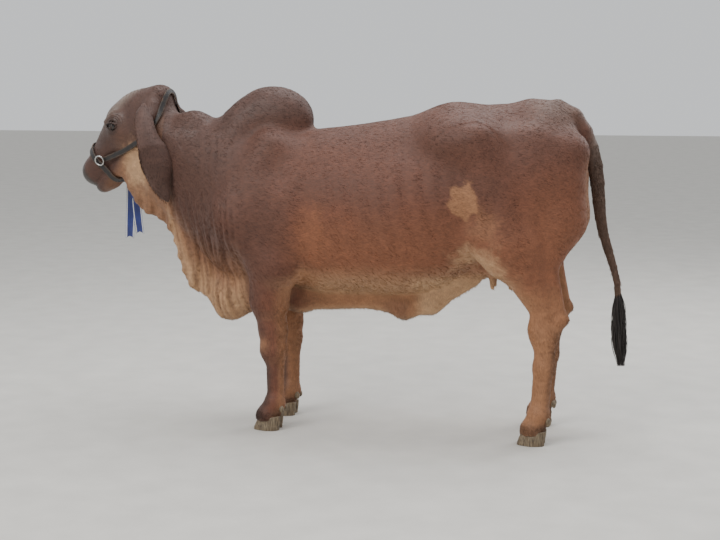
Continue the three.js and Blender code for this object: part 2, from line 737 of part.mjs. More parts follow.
// The mouth is a narrow groove round the muzzle, rising a little to its corners.
function mouth() {
  const outline = new THREE.Shape();
  const corner = HEAD_LENGTH - 112;
  outline.moveTo(-corner, -86);
  outline.quadraticCurveTo(-(HEAD_LENGTH - 50), -86, -(HEAD_LENGTH + 40), -64);
  outline.lineTo(-(HEAD_LENGTH + 40), -60);
  outline.quadraticCurveTo(-(HEAD_LENGTH - 50), -82, -corner, -86);
  const blade = new THREE.ExtrudeGeometry(outline, { depth: 240, bevelEnabled: false, curveSegments: 4 });
  blade.rotateX(Math.PI / 2);
  blade.translate(0, 120, 0);
  const core = new THREE.SphereGeometry(1, 14, 10);
  core.scale(90, 58, 60);
  core.translate(-(HEAD_LENGTH - 94), 0, -70);
  return solid(blade.applyMatrix4(headFrame)).subtract(solid(core.applyMatrix4(headFrame)));
}

function ball(centre, radius, segments = 12) {
  const sphere = new THREE.SphereGeometry(radius, segments, Math.round(segments * 0.6));
  sphere.translate(centre.x, centre.y, centre.z);
  return solid(sphere);
}

// Halter: flat straps laid on the skin, two rings, and a ribbon tied on the far cheek

const STRAP_WIDTH = 24;
const STRAP_DEPTH = 4;

// Finds the skin from outside, walking in towards a point on the head's axis.
function onSkin(from, towards, lift = 0) {
  const step = towards.clone().sub(from).normalize();
  const p = from.clone();
  for (let i = 0; i < 60; i++) {
    const d = body(p.x, p.y, p.z) - lift;
    if (Math.abs(d) < 0.2) break;
    p.addScaledVector(step, Math.min(d, 40) * 0.8);
  }
  return p;
}

const skinNormal = (p) => at(
  body(p.x + 3, p.y, p.z) - body(p.x - 3, p.y, p.z),
  body(p.x, p.y + 3, p.z) - body(p.x, p.y - 3, p.z),
  body(p.x, p.y, p.z + 3) - body(p.x, p.y, p.z - 3),
).normalize();

// Draws a line of points tight, holding every point just clear of the skin.
function taut(points, closed) {
  let line = points.map((p) => p.clone());
  const count = line.length;
  for (let pass = 0; pass < 12; pass++) {
    line = line.map((p, i) => {
      if (!closed && (i === 0 || i === count - 1)) return p;
      const mid = line[(i + 1) % count].clone().add(line[(i + count - 1) % count]).multiplyScalar(0.5);
      const q = p.clone().lerp(mid, 0.6);
      for (let k = 0; k < 6; k++) {
        const d = body(q.x, q.y, q.z);
        if (d > 4) break;
        q.addScaledVector(skinNormal(q), 4.5 - d);
      }
      return q;
    });
  }
  return line;
}

function strap(points, closed, width = STRAP_WIDTH, depth = STRAP_DEPTH) {
  const count = points.length;
  const rings = points.map((p, i) => {
    const next = points[closed ? (i + 1) % count : Math.min(i + 1, count - 1)];
    const last = points[closed ? (i + count - 1) % count : Math.max(i - 1, 0)];
    const along = next.clone().sub(last).normalize();
    const up = skinNormal(p);
    const across = along.clone().cross(up).normalize();
    const corner = (w, h) => p.clone().addScaledVector(across, (w * width) / 2).addScaledVector(up, h);
    return [corner(-1, -9), corner(1, -9), corner(1, depth), corner(-1, depth)];
  });
  if (!closed) return loft(rings);
  const half = Math.floor(count / 2);
  return loft(rings.slice(0, half + 1)).add(loft([...rings.slice(half), rings[0]]));
}

function noseband() {
  const points = [];
  const steps = 14;
  for (let i = 0; i < steps; i++) {
    const a = (2 * Math.PI * i) / steps;
    const centre = headPoint(425, 0, -40);
    const from = headPoint(425 + 8 * Math.cos(a), 220 * Math.sin(a), -40 + 220 * Math.cos(a));
    points.push(onSkin(from, centre));
  }
  return strap(taut(points, true), true, 30);
}

function crownStrap(extra = 0) {
  const half = [
    [392, 150, -52],
    [330, 150, -88],
    [267, 160, -124],
    [200, 180, -152],
    [130, 190, -174],
    [70, 190, -172],
    [20, 170, -138],
    [-8, 120, -84],
    [-20, 60, 0],
  ];
  const path = [
    ...half.map(([a, s, u]) => [a, -s, u]),
    [-24, 0, 60],
    ...half.map(([a, s, u]) => [a, s, u]).reverse(),
  ];
  const points = path.map(([a, s, u]) => onSkin(headPoint(a, s, u), headPoint(a, 0, Math.min(u, -40))));
  const smooth = new THREE.CatmullRomCurve3(points).getPoints(15);
  return strap(taut(smooth, false), false, STRAP_WIDTH + 2 * extra, STRAP_DEPTH + extra);
}

function halterRing(side) {
  const centre = onSkin(headPoint(409, side * 200, -46), headPoint(409, 0, -46), 15);
  const up = skinNormal(centre);
  const torus = new THREE.TorusGeometry(21, 3.4, 5, 12);
  torus.applyQuaternion(new THREE.Quaternion().setFromUnitVectors(at(0, 0, 1), up));
  torus.translate(centre.x, centre.y, centre.z);
  return solid(torus);
}

function ribbonTail(top, length, width, swing) {
  const steps = 8;
  const rings = [];
  for (let i = 0; i <= steps; i++) {
    const t = i / steps;
    const sway = Math.sin(t * 5 + swing) * 7 * t;
    const forward = 45 * Math.min(1, 3 * t);
    const centre = top.clone().add(at(swing * 22 * t - forward, sway + 6 * t, -length * t));
    const w = (width / 2) * (0.7 + 0.3 * Math.min(1, 4 * t));
    rings.push([
      centre.clone().add(at(-w, -0.7, 0)),
      centre.clone().add(at(w, -0.7, 0)),
      centre.clone().add(at(w, 0.7, 0)),
      centre.clone().add(at(-w, 0.7, 0)),
    ]);
  }
  return loft(rings);
}

function ribbon(knot) {
  let whole = solid(new THREE.SphereGeometry(15, 8, 6).scale(1, 0.6, 1).translate(knot.x, knot.y, knot.z));
  whole = whole.add(ribbonTail(knot, 350, 40, -0.5)).add(ribbonTail(knot.clone().add(at(6, 4, 0)), 330, 40, 1.3));
  for (const turn of [-1, 1]) {
    const loop = new THREE.TorusGeometry(20, 2, 5, 10).scale(1.3, 0.8, 1);
    loop.translate(knot.x + turn * 28, knot.y, knot.z + 6);
    whole = whole.add(solid(loop));
  }
  return largest(whole);
}

// Putting it together

const nodes = {};
const trunkSkin = wrapped(body, [-866, -383, 396], [900, 380, 1480], [72, 57, 48]);
const neckSkin = wrapped(body, [-1180, -330, 560], [-600, 330, 1440], [42, 35, 39]);
const humpSkin = wrapped(body, [-800, -160, 1250], [-200, 160, 1500], [40, 34, 34]);
const dewlapSkin = wrapped(body, [-1266, -206, 404], [-540, 200, 1220], [30, 20, 38]);
const headSkin = wrapped(body, [-1520, -160, 980], [-900, 320, 1540], [25, 23, 24]);
const headSpace = wrapped(proud(body, 0.6), [-1520, -160, 980], [-900, 320, 1540], [25, 23, 24]);
const neckSpace = wrapped(proud(body, 0.6), [-1180, -330, 560], [-600, 330, 1440], [42, 35, 39]);
const trunkSpace = wrapped(proud(body, 0.6), [-866, -383, 396], [900, 380, 1480], [72, 57, 48]);

const limbs = ['foreleg_left', 'foreleg_right', 'hindleg_left', 'hindleg_right'];
regions.dewlapTop = [flipped(neckRoot), chestFloor];
nodes.hump = inside('hump', humpSkin);
nodes.neck = inside('neck', neckSkin);
nodes.torso = largest(outside(['hump', ...limbs], trunkSkin).intersect(region([flipped(neckRoot), chestFloor])));
nodes.dewlap = largest(outside(['head', 'neck', 'dewlapTop', ...limbs], dewlapSkin));

for (const [side, name] of SIDES) {
  const foreSkin = wrapped(body, [-660, side < 0 ? -330 : 10, -30], [-300, side < 0 ? -10 : 330, 760], [36, 29, 44]);
  const hindSkin = wrapped(body, [420, side < 0 ? -330 : 10, -30], [880, side < 0 ? -10 : 330, 860], [37, 30, 46]);
  const foreFoot = at(-500, side * FORE_HALF_STANCE, 0);
  const hindFoot = at(628, side * HIND_HALF_STANCE, 0);
  nodes[`foreleg_${name}`] = inside(`foreleg_${name}`, foreSkin).add(dewclaws(foreFoot.x + 62, foreFoot.y, 92));
  nodes[`hindleg_${name}`] = inside(`hindleg_${name}`, hindSkin).add(dewclaws(hindFoot.x + 66, hindFoot.y, 100));
  nodes[`hoof_fore_${name}`] = hoof(foreFoot.x + 3, foreFoot.y);
  nodes[`hoof_hind_${name}`] = hoof(hindFoot.x + 3, hindFoot.y);
}

const underEars = headSpace.add(headSkin).add(neckSpace).add(neckSkin).add(crownStrap(CUT));
let headSolid = inside('head', headSkin);
for (const [side, name] of SIDES) {
  headSolid = headSolid.add(lid(side, true)).add(lid(side, false)).subtract(nostril(side));
  headSolid = headSolid.subtract(ball(eyeCentre(side), EYE_RADIUS + CUT));
  nodes[`eye_${name}`] = ball(eyeCentre(side), EYE_RADIUS);
  nodes[`ear_${name}`] = largest(ear(side).subtract(underEars));
}
nodes.head = largest(headSolid.subtract(mouth()));

nodes.tail = largest(tailTube().subtract(trunkSpace).subtract(trunkSkin));
nodes.tail = keepAhead(nodes.tail, at(0, 0, SWITCH_TOP), at(0, 0, 1));
nodes.tail_switch = keepBehind(tailSwitch(), at(0, 0, SWITCH_TOP), at(0, 0, 1));

const underHalter = headSpace.add(neckSpace).add(headSkin).add(neckSkin);
nodes.halter_noseband = largest(noseband().subtract(underHalter));
nodes.halter_crown = largest(crownStrap().subtract(underHalter));
const knot = onSkin(headPoint(372, 260, -96), headPoint(372, 0, -96), 34);
nodes.ribbon = ribbon(knot);
for (const [side, name] of SIDES) nodes[`halter_ring_${name}`] = halterRing(side);

const looks = {
  head: [0x6b4a40, 0.7],
  neck: [0x6e4638, 0.7],
  hump: [0x6a4136, 0.7],
  torso: [0x8a4b33, 0.7],
  dewlap: [0xb98a64, 0.75],
  foreleg: [0x7d4630, 0.7],
  hindleg: [0x8f5236, 0.7],
  ear: [0x5f3f36, 0.7],
  eye: [0x17110e, 0.12],
  hoof: [0xa58a6c, 0.55],
  tail_switch: [0x1c191a, 0.6],
  tail: [0x6d4a3c, 0.7],
  halter_ring: [0xa9abad, 0.3],
  halter: [0x1d1b1b, 0.5],
  ribbon: [0x243e9c, 0.5],
};

const group = new THREE.Group();
for (const [name, body3] of Object.entries(nodes)) {
  const key = Object.keys(looks).find((start) => name.startsWith(start));
  const [color, roughness] = looks[key];
  const metalness = key === 'halter_ring' ? 1 : 0;
  const mesh = new THREE.Mesh(geometryOf(body3), new THREE.MeshStandardMaterial({ color, roughness, metalness }));
  mesh.name = name;
  group.add(mesh);
}
const bounds = new THREE.Box3().setFromObject(group);
const middle = bounds.getCenter(at(0, 0, 0));
group.position.set(-middle.x, -middle.y, -bounds.min.z);

export default group;
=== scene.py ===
"""Looks of the life-size red zebu cow: one seamless hide, its coat, eyes, hooves, tail switch, halter and ribbon.

The hide is wrapped from the same field of named masses as the frame's solids, so it lies just inside them.
Body measures are in millimetres in the animal's own frame (head towards -X, left side towards -Y, ground at 0);
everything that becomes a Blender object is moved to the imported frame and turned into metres.
"""

import logging
import math
from dataclasses import dataclass, field
from enum import Enum
from typing import Callable, Optional, Sequence

import bmesh
import bpy
import numpy as np
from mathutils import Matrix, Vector


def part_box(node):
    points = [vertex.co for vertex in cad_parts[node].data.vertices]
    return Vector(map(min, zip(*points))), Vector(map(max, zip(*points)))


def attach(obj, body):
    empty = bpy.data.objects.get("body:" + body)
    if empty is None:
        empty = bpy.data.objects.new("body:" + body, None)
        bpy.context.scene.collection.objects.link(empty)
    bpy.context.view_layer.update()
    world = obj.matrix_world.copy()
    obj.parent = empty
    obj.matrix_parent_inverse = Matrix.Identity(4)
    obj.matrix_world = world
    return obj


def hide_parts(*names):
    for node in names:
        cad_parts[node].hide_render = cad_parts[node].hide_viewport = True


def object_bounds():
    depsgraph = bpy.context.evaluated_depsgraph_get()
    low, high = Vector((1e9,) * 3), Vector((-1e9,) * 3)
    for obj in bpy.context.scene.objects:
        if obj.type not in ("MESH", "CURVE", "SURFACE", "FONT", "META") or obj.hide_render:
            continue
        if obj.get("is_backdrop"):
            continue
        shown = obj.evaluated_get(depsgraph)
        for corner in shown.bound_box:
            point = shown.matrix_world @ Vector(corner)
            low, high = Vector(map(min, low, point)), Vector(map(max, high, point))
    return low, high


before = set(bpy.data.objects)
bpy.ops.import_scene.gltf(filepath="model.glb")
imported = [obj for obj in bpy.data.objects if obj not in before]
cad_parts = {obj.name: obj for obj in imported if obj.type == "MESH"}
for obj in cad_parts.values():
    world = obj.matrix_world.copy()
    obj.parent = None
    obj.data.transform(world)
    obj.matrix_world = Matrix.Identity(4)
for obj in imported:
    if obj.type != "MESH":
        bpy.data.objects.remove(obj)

log = logging.getLogger("zebu")
Array = np.ndarray

HOOF_FRONT_EDGE = -556.0
HUMP_TOP = 1458.0
BACK_LOW = 1282.0
CROUP_TOP = 1400.0
CHEST_FLOOR = 585.0
BARREL_HALF_WIDTH = 300.0
HEAD_LENGTH = 575.0
HEAD_PITCH = 44.5
HEAD_YAW = 18.0
KNEE_HEIGHT = 352.0
HOCK_HEIGHT = 480.0
FORE_HALF_STANCE = 135.0
HIND_HALF_STANCE = 160.0
CORONET_HEIGHT = 58.0
EYE_RADIUS = 19.0
EYE_ALONG = 238.0
EYE_UP = 4.0
HEAD_START = -985.0
NECK_START = -640.0
COAT_DEPTH = 1.2
UPWARD_SHARE = 0.72
SLANT_SHARE = 0.69


class Side(Enum):
    """The animal's two sides, with the sign of Y on each."""

    LEFT = -1
    RIGHT = 1

    @property
    def word(self) -> str:
        """The side's name as it stands in node names."""
        return self.name.lower()


# Geometry helpers


def vec(*values: float) -> Array:
    """Makes a float vector.

    Args:
        values: the components.

    Returns:
        An array of those components.
    """
    return np.array(values, dtype=float)


def unit(v: Array) -> Array:
    """Scales vectors to length one along the last axis.

    Args:
        v: one vector or rows of vectors.

    Returns:
        The same directions at length one.
    """
    return v / np.maximum(np.linalg.norm(v, axis=-1, keepdims=True), 1e-9)


def smoothstep(low: float, high: float, x: Array) -> Array:
    """Eases from 0 to 1 between two values.

    Args:
        low: where the ramp starts.
        high: where it ends.
        x: the values to ramp.

    Returns:
        The eased ramp.
    """
    t = np.clip((x - low) / (high - low), 0.0, 1.0)
    return t * t * (3 - 2 * t)


def catmull(points: Sequence[Array], count: int) -> Array:
    """Runs a smooth curve through points, with samples at even arc length.

    Args:
        points: the points it passes through.
        count: how many samples to return.

    Returns:
        The samples as rows.
    """
    p = np.array([np.asarray(q, float) for q in points])
    p = np.vstack([2 * p[0] - p[1], p, 2 * p[-1] - p[-2]])
    dense = []
    for i in range(1, len(p) - 2):
        t = np.linspace(0, 1, 24, endpoint=False)[:, None]
        a, b, c, d = p[i - 1], p[i], p[i + 1], p[i + 2]
        dense.append(0.5 * (2 * b + (c - a) * t + (2 * a - 5 * b + 4 * c - d) * t**2 + (3 * b - a - 3 * c + d) * t**3))
    dense.append(p[-2][None])
    line = np.vstack(dense)
    run = np.concatenate([[0], np.cumsum(np.linalg.norm(np.diff(line, axis=0), axis=1))])
    want = np.linspace(0, run[-1], count)
    return np.stack([np.interp(want, run, line[:, k]) for k in range(3)], 1)


def rotation(x_deg: float, y_deg: float, z_deg: float) -> Array:
    """Builds a rotation that turns about Z, then Y, then X of the turned thing, as intrinsic XYZ angles.

    Args:
        x_deg: turn about X in degrees.
        y_deg: turn about Y in degrees.
        z_deg: turn about Z in degrees.

    Returns:
        A 3 by 3 matrix Rx @ Ry @ Rz.
    """
    x, y, z = (math.radians(a) for a in (x_deg, y_deg, z_deg))
    rx = np.array([[1, 0, 0], [0, math.cos(x), -math.sin(x)], [0, math.sin(x), math.cos(x)]])
    ry = np.array([[math.cos(y), 0, math.sin(y)], [0, 1, 0], [-math.sin(y), 0, math.cos(y)]])
    rz = np.array([[math.cos(z), -math.sin(z), 0], [math.sin(z), math.cos(z), 0], [0, 0, 1]])
    return rx @ ry @ rz


@dataclass(frozen=True)
class Placement:
    """A rigid frame: points in it are turned and then moved."""

    turn: Array
    origin: Array

    def out(self, p: Array) -> Array:
        """Takes points from this frame to the body's frame.

        Args:
            p: points as rows, or one point.

        Returns:
            The same points in the body's frame.
        """
        return p @ self.turn.T + self.origin

    def back(self, p: Array) -> Array:
        """Takes points from the body's frame into this frame.

        Args:
            p: points as rows.

        Returns:
            The same points in this frame.
        """
        return (p - self.origin) @ self.turn


HEAD_FRAME = Placement(rotation(0, 0, -HEAD_YAW) @ rotation(0, -HEAD_PITCH, 0), vec(-1034, 50, 1448))


def on_head(along: float, side: float, up: float) -> Array:
    """Names a point of the head by its way from the poll to the muzzle.

    Args:
        along: distance from the poll towards the muzzle.
        side: distance to the animal's right.
        up: distance out of the forehead.

    Returns:
        The point in the head's own frame.
    """
    return vec(-along, side, up)


def head_point(along: float, side: float, up: float) -> Array:
    """Names a point of the head and gives it in the body's frame.

    Args:
        along: distance from the poll towards the muzzle.
        side: distance to the animal's right.
        up: distance out of the forehead.

    Returns:
        The point in the body's frame.
    """
    return HEAD_FRAME.out(on_head(along, side, up))


def by_eye(run: float, rise: float, side: float) -> Array:
    """Names a point near the eye by its way along and across the slanting slit.

    Args:
        run: distance along the slit, forward and down.
        rise: distance over it.
        side: distance to the animal's right.

    Returns:
        The point in the head's own frame.
    """
    return on_head(EYE_ALONG + UPWARD_SHARE * run - SLANT_SHARE * rise, side,
                   EYE_UP + SLANT_SHARE * run + UPWARD_SHARE * rise)


# The field of masses


@dataclass(frozen=True)
class Piece:
    """One mass of the field: how far it blends and whether it adds or carves."""

    k: float = 40.0
    carve: bool = False
    frame: Optional[Placement] = None

    def span(self) -> tuple[Array, Array]:
        """Gives the box outside which the piece changes nothing.

        Returns:
            Lowest and highest corner.
        """
        raise NotImplementedError

    def distance(self, p: Array) -> Array:
        """Gives the signed distance of points from the piece's surface.

        Args:
            p: points as rows.

        Returns:
            Distances, negative inside.
        """
        raise NotImplementedError


@dataclass(frozen=True)
class Rod(Piece):
    """A tapering rod between two points, thinned along Y by flat."""

    a: Array = field(default_factory=lambda: vec(0, 0, 0))
    b: Array = field(default_factory=lambda: vec(0, 0, 0))
    ra: float = 10.0
    rb: float = 10.0
    flat: float = 1.0

    def span(self) -> tuple[Array, Array]:
        """See Piece."""
        ends = np.array([self.a, self.b])
        if self.frame:
            ends = self.frame.out(ends)
        reach = max(self.ra, self.rb) + self.k
        return ends.min(0) - reach, ends.max(0) + reach

    def distance(self, p: Array) -> Array:
        """See Piece."""
        q = self.frame.back(p) if self.frame else p
        squash = vec(1, 1 / self.flat, 1)
        a = self.a * squash
        d = self.b * squash - a
        v = q * squash - a
        t = np.clip((v @ d) / (d @ d), 0, 1)
        v = v - t[:, None] * d
        r = np.linalg.norm(v, axis=1) + 1e-9
        return (r - (self.ra + t * (self.rb - self.ra))) / np.linalg.norm(v / r[:, None] * squash, axis=1)


@dataclass(frozen=True)
class Mass(Piece):
    """An egg-shaped mass with three half-sizes, turned by angles in degrees."""

    centre: Array = field(default_factory=lambda: vec(0, 0, 0))
    radii: Array = field(default_factory=lambda: vec(1, 1, 1))
    turn: tuple[float, float, float] = (0.0, 0.0, 0.0)

    def own(self) -> Placement:
        """Gives the mass's own frame in the body's frame.

        Returns:
            The placement of its centre and axes.
        """
        turn = rotation(*self.turn)
        if self.frame:
            return Placement(self.frame.turn @ turn, self.frame.out(self.centre))
        return Placement(turn, self.centre)

    def span(self) -> tuple[Array, Array]:
        """See Piece."""
        reach = self.radii.max() + self.k
        centre = self.own().origin
        return centre - reach, centre + reach

    def distance(self, p: Array) -> Array:
        """See Piece."""
        q = self.own().back(p)
        k0 = np.linalg.norm(q / self.radii, axis=1)
        k1 = np.linalg.norm(q / self.radii**2, axis=1) + 1e-9
        return k0 * (k0 - 1) / k1


def smooth_min(a: Array, b: Array, k: float) -> Array:
    """Joins two distances with a rounded fillet.

    Args:
        a: first distance.
        b: second distance.
        k: width of the fillet.

    Returns:
        The joined distance.
    """
    h = np.maximum(k - np.abs(a - b), 0) / k
    return np.minimum(a, b) - h * h * k * 0.25


class Field:
    """Masses melted into one body, as a signed distance."""

    FAR = 200.0

    def __init__(self, pieces: Sequence[Piece]) -> None:
        """Keeps the pieces in order.

        Args:
            pieces: masses, applied one after another.
        """
        self.pieces = list(pieces)
        self.floor = -1e6

    def at(self, p: Array) -> Array:
        """Evaluates the field at points.

        Args:
            p: points as rows.

        Returns:
            Signed distances.
        """
        d = np.full(len(p), self.FAR)
        for piece in self.pieces:
            low, high = piece.span()
            near = np.nonzero(((p >= low) & (p <= high)).all(1))[0]
            if not len(near):
                continue
            own = piece.distance(p[near])
            d[near] = -smooth_min(-d[near], own, piece.k) if piece.carve else smooth_min(d[near], own, piece.k)
        return np.maximum(d, self.floor - p[:, 2])

    def slope(self, p: Array, step: float = 1.0) -> Array:
        """Finds the field's gradient at points.

        Args:
            p: points as rows.
            step: half the distance between the two samples on each axis.

        Returns:
            Gradients as rows.
        """
        out = np.zeros_like(p)
        for k in range(3):
            e = np.zeros(3)
            e[k] = step
            out[:, k] = (self.at(p + e) - self.at(p - e)) / (2 * step)
        return out

    def settle(self, p: Array, level: float, rounds: int = 2, most: float = 4.0) -> Array:
        """Moves points onto the surface at a level.

        Args:
            p: points near the surface.
            level: the distance the surface stands at.
            rounds: how many corrections to make.
            most: the furthest that one correction may move a point.

        Returns:
            The moved points.
        """
        p = p.copy()
        for _ in range(rounds):
            g = self.slope(p)
            move = -(self.at(p) - level)[:, None] * g / np.maximum((g * g).sum(1), 0.05)[:, None]
            size = np.linalg.norm(move, axis=1, keepdims=True)
            p += move * np.minimum(1, most / np.maximum(size, 1e-9))
        return p

    def on_grid(self, low: Array, counts: tuple[int, int, int], cell: float) -> Array:
        """Evaluates the field on a regular grid, each piece only where it counts.

        Args:
            low: the grid's lowest corner.
            counts: samples along each axis.
            cell: distance between samples.

        Returns:
            Distances with one axis for each of X, Y and Z.
        """
        d = np.full(counts, self.FAR, dtype=np.float32)
        axes = [low[i] + cell * np.arange(counts[i]) for i in range(3)]
        for piece in self.pieces:
            lo, hi = piece.span()
            cut = tuple(slice(*np.searchsorted(axes[i], [lo[i], hi[i]])) for i in range(3))
            part = d[cut]
            if not part.size:
                continue
            x, y, z = (axes[i][cut[i]] for i in range(3))
            p = np.stack(np.meshgrid(x, y, z, indexing="ij"), -1).reshape(-1, 3)
            own = piece.distance(p).astype(np.float32).reshape(part.shape)
            d[cut] = -smooth_min(-part, own, piece.k) if piece.carve else smooth_min(part, own, piece.k)
        return np.maximum(d, (self.floor - axes[2]).astype(np.float32)[None, None, :])


# The animal's masses, part by part


def dewlap_edge() -> Array:
    """Gives the dewlap's lower edge, from under the jaw to the brisket.

    Returns:
        Points along it, one for each hanging fold.
    """
    points = [
        (-1208, 62, 1052), (-1170, 50, 985), (-1112, 40, 905), (-1030, 34, 870),
        (-968, 24, 800), (-930, 12, 690), (-885, 4, 580), (-815, 0, 545),
        (-762, 0, 520), (-722, 0, 470), (-660, 0, 475), (-618, 0, 530),
    ]
    return catmull([vec(*p) for p in points], Anatomy.FOLDS)


def tail_line(count: int) -> Array:
    """Gives the tail's middle line from the tail head to the switch.

    Args:
        count: how many samples to return.

    Returns:
        Samples along it.
    """
    points = [
        (700, 0, 1362), (776, 0, 1318), (826, 0, 1232), (860, 0, 1120), (874, 0, 1010),
        (892, 0, 880), (930, 0, 760), (958, 0, 660), (964, 0, 590),
    ]
    return catmull([vec(*p) for p in points], count)


def tail_radius(t: float) -> float:
    """Gives the tail's radius.

    Args:
        t: way along it, from 0 to 1.

    Returns:
        Its radius there.
    """
    return 34 * max(0.0, 1 - t) ** 1.3 + 12


class Anatomy:
    """Lists the masses of the whole animal."""

    FOLDS = 29
    FOLD_THICKNESS = 21.0

    @staticmethod
    def trunk() -> list[Piece]:
        """Chest, barrel, loin and croup.

        Returns:
            Their pieces.
        """
        out: list[Piece] = [
            Mass(60, centre=vec(-260, 0, 925), radii=vec(400, 262, 340)),
            Mass(90, centre=vec(50, 0, 925), radii=vec(400, BARREL_HALF_WIDTH, 925 - CHEST_FLOOR)),
            Mass(100, centre=vec(310, 0, 995), radii=vec(270, 255, 272)),
            Rod(80, a=vec(-330, 0, BACK_LOW - 165), b=vec(280, 0, CROUP_TOP - 168), ra=130, rb=140),
            Rod(80, a=vec(280, 0, CROUP_TOP - 160), b=vec(650, 0, CROUP_TOP - 138), ra=138, rb=134),
            Rod(60, a=vec(600, 0, 1330), b=vec(735, 0, 1320), ra=66, rb=48),
            Mass(90, centre=vec(-560, 0, 900), radii=vec(180, 190, 280)),
        ]
        for s in (-1, 1):
            out.append(Mass(110, centre=vec(345, s * 150, 1238), radii=vec(150, 98, 84)))
            out.append(Rod(70, a=vec(660, s * 70, 1235), b=vec(776, s * 104, 1212), ra=88, rb=44))
        return out

    @staticmethod
    def shoulder(s: int) -> list[Piece]:
        """Shoulder blade, point of shoulder and upper arm.

        Args:
            s: sign of the side.

        Returns:
            Their pieces.
        """
        return [
            Rod(100, a=vec(-490, s * 92, 1195), b=vec(-630, s * 160, 930), ra=84, rb=96),
            Mass(60, centre=vec(-605, s * 175, 895), radii=vec(105, 72, 120)),
            Mass(60, centre=vec(-455, s * 188, 880), radii=vec(140, 70, 190), turn=(0, -20, 0)),
            Rod(50, a=vec(-600, s * 180, 870), b=vec(-450, s * 175, 720), ra=80, rb=82),
        ]

    @staticmethod
    def foreleg(s: int) -> list[Piece]:
        """Forearm, knee, cannon and pastern.

        Args:
            s: sign of the side.

        Returns:
            Their pieces.
        """
        y = s * FORE_HALF_STANCE
        return [
            Rod(50, a=vec(-468, s * 165, 700), b=vec(-484, s * 150, 560), ra=104, rb=80, flat=0.86),
            Rod(30, a=vec(-484, s * 150, 560), b=vec(-473, y, 430), ra=80, rb=58, flat=0.86),
            Rod(30, a=vec(-473, y, 430), b=vec(-470, y, KNEE_HEIGHT), ra=58, rb=54, flat=0.9),
            Mass(25, centre=vec(-474, y, KNEE_HEIGHT - 8), radii=vec(55, 48, 62)),
            Rod(25, a=vec(-464, y, KNEE_HEIGHT - 60), b=vec(-464, y, 165), ra=41, rb=38, flat=0.8),
            Mass(25, centre=vec(-468, y, 112), radii=vec(46, 41, 44)),
            Rod(20, a=vec(-470, y, 115), b=vec(-497, y, CORONET_HEIGHT), ra=40, rb=44, flat=1.08),
            Rod(20, a=vec(-500, y, CORONET_HEIGHT), b=vec(-502, y, 20), ra=50, rb=52, flat=1.08),
        ]

    @staticmethod
    def hind_quarter(s: int) -> list[Piece]:
        """Thigh, buttock, stifle and flank fold.

        Args:
            s: sign of the side.

        Returns:
            Their pieces.
        """
        return [
            Mass(70, centre=vec(585, s * 150, 1040), radii=vec(215, 98, 250), turn=(0, 8, 0)),
            Rod(60, a=vec(750, s * 96, 1180), b=vec(735, s * 118, 920), ra=82, rb=88),
            Rod(60, a=vec(735, s * 118, 920), b=vec(690, s * 145, 800), ra=88, rb=70),
            Rod(80, a=vec(395, s * 190, 1240), b=vec(520, s * 180, 850), ra=60, rb=98),
            Mass(60, centre=vec(545, s * 182, 820), radii=vec(100, 70, 130), turn=(0, -12, 0)),
            Rod(90, a=vec(400, s * 205, 850), b=vec(480, s * 175, 740), ra=30, rb=30),
        ]

    @staticmethod
    def hind_leg(s: int) -> list[Piece]:
        """Second thigh, hock, cannon and pastern.

        Args:
            s: sign of the side.

        Returns:
            Their pieces.
        """
        y = s * HIND_HALF_STANCE
        return [
            Rod(50, a=vec(560, s * 178, 800), b=vec(668, y, 555), ra=112, rb=52, flat=0.78),
            Rod(40, a=vec(698, s * 165, 730), b=vec(745, y, 528), ra=26, rb=21),
            Mass(35, centre=vec(668, y, HOCK_HEIGHT - 10), radii=vec(62, 44, 78), turn=(0, -14, 0)),
            Rod(25, a=vec(700, y, HOCK_HEIGHT), b=vec(748, y, 520), ra=38, rb=25, flat=0.75),
            Rod(30, a=vec(680, y, 430), b=vec(674, y, 320), ra=47, rb=41, flat=0.78),
            Rod(25, a=vec(674, y, 320), b=vec(664, y, 180), ra=41, rb=40, flat=0.82),
            Mass(25, centre=vec(660, y, 124), radii=vec(48, 43, 46)),
            Rod(20, a=vec(656, y, 122), b=vec(636, y, CORONET_HEIGHT + 4), ra=41, rb=46, flat=1.06),
            Rod(20, a=vec(634, y, CORONET_HEIGHT + 4), b=vec(630, y, 20), ra=50, rb=52, flat=1.06),
        ]

    @staticmethod
    def neck_and_hump() -> list[Piece]:
        """Neck, crest and hump.

        Returns:
            Their pieces.
        """
        return [
            Rod(60, a=vec(-960, 25, 1245), b=vec(-690, 0, 1125), ra=100, rb=190, flat=0.82),
            Rod(80, a=vec(-1020, 34, 1170), b=vec(-650, 0, 990), ra=104, rb=215, flat=0.86),
            Rod(80, a=vec(-1085, 45, 1090), b=vec(-640, 0, 840), ra=78, rb=205, flat=0.8),
            Mass(50, centre=vec(-850, 0, 1285), radii=vec(70, 52, 66)),
            Mass(40, centre=vec(-500, 0, HUMP_TOP - 138), radii=vec(176, 98, 138)),
            Mass(60, centre=vec(-640, 0, 1280), radii=vec(95, 88, 92)),
        ]

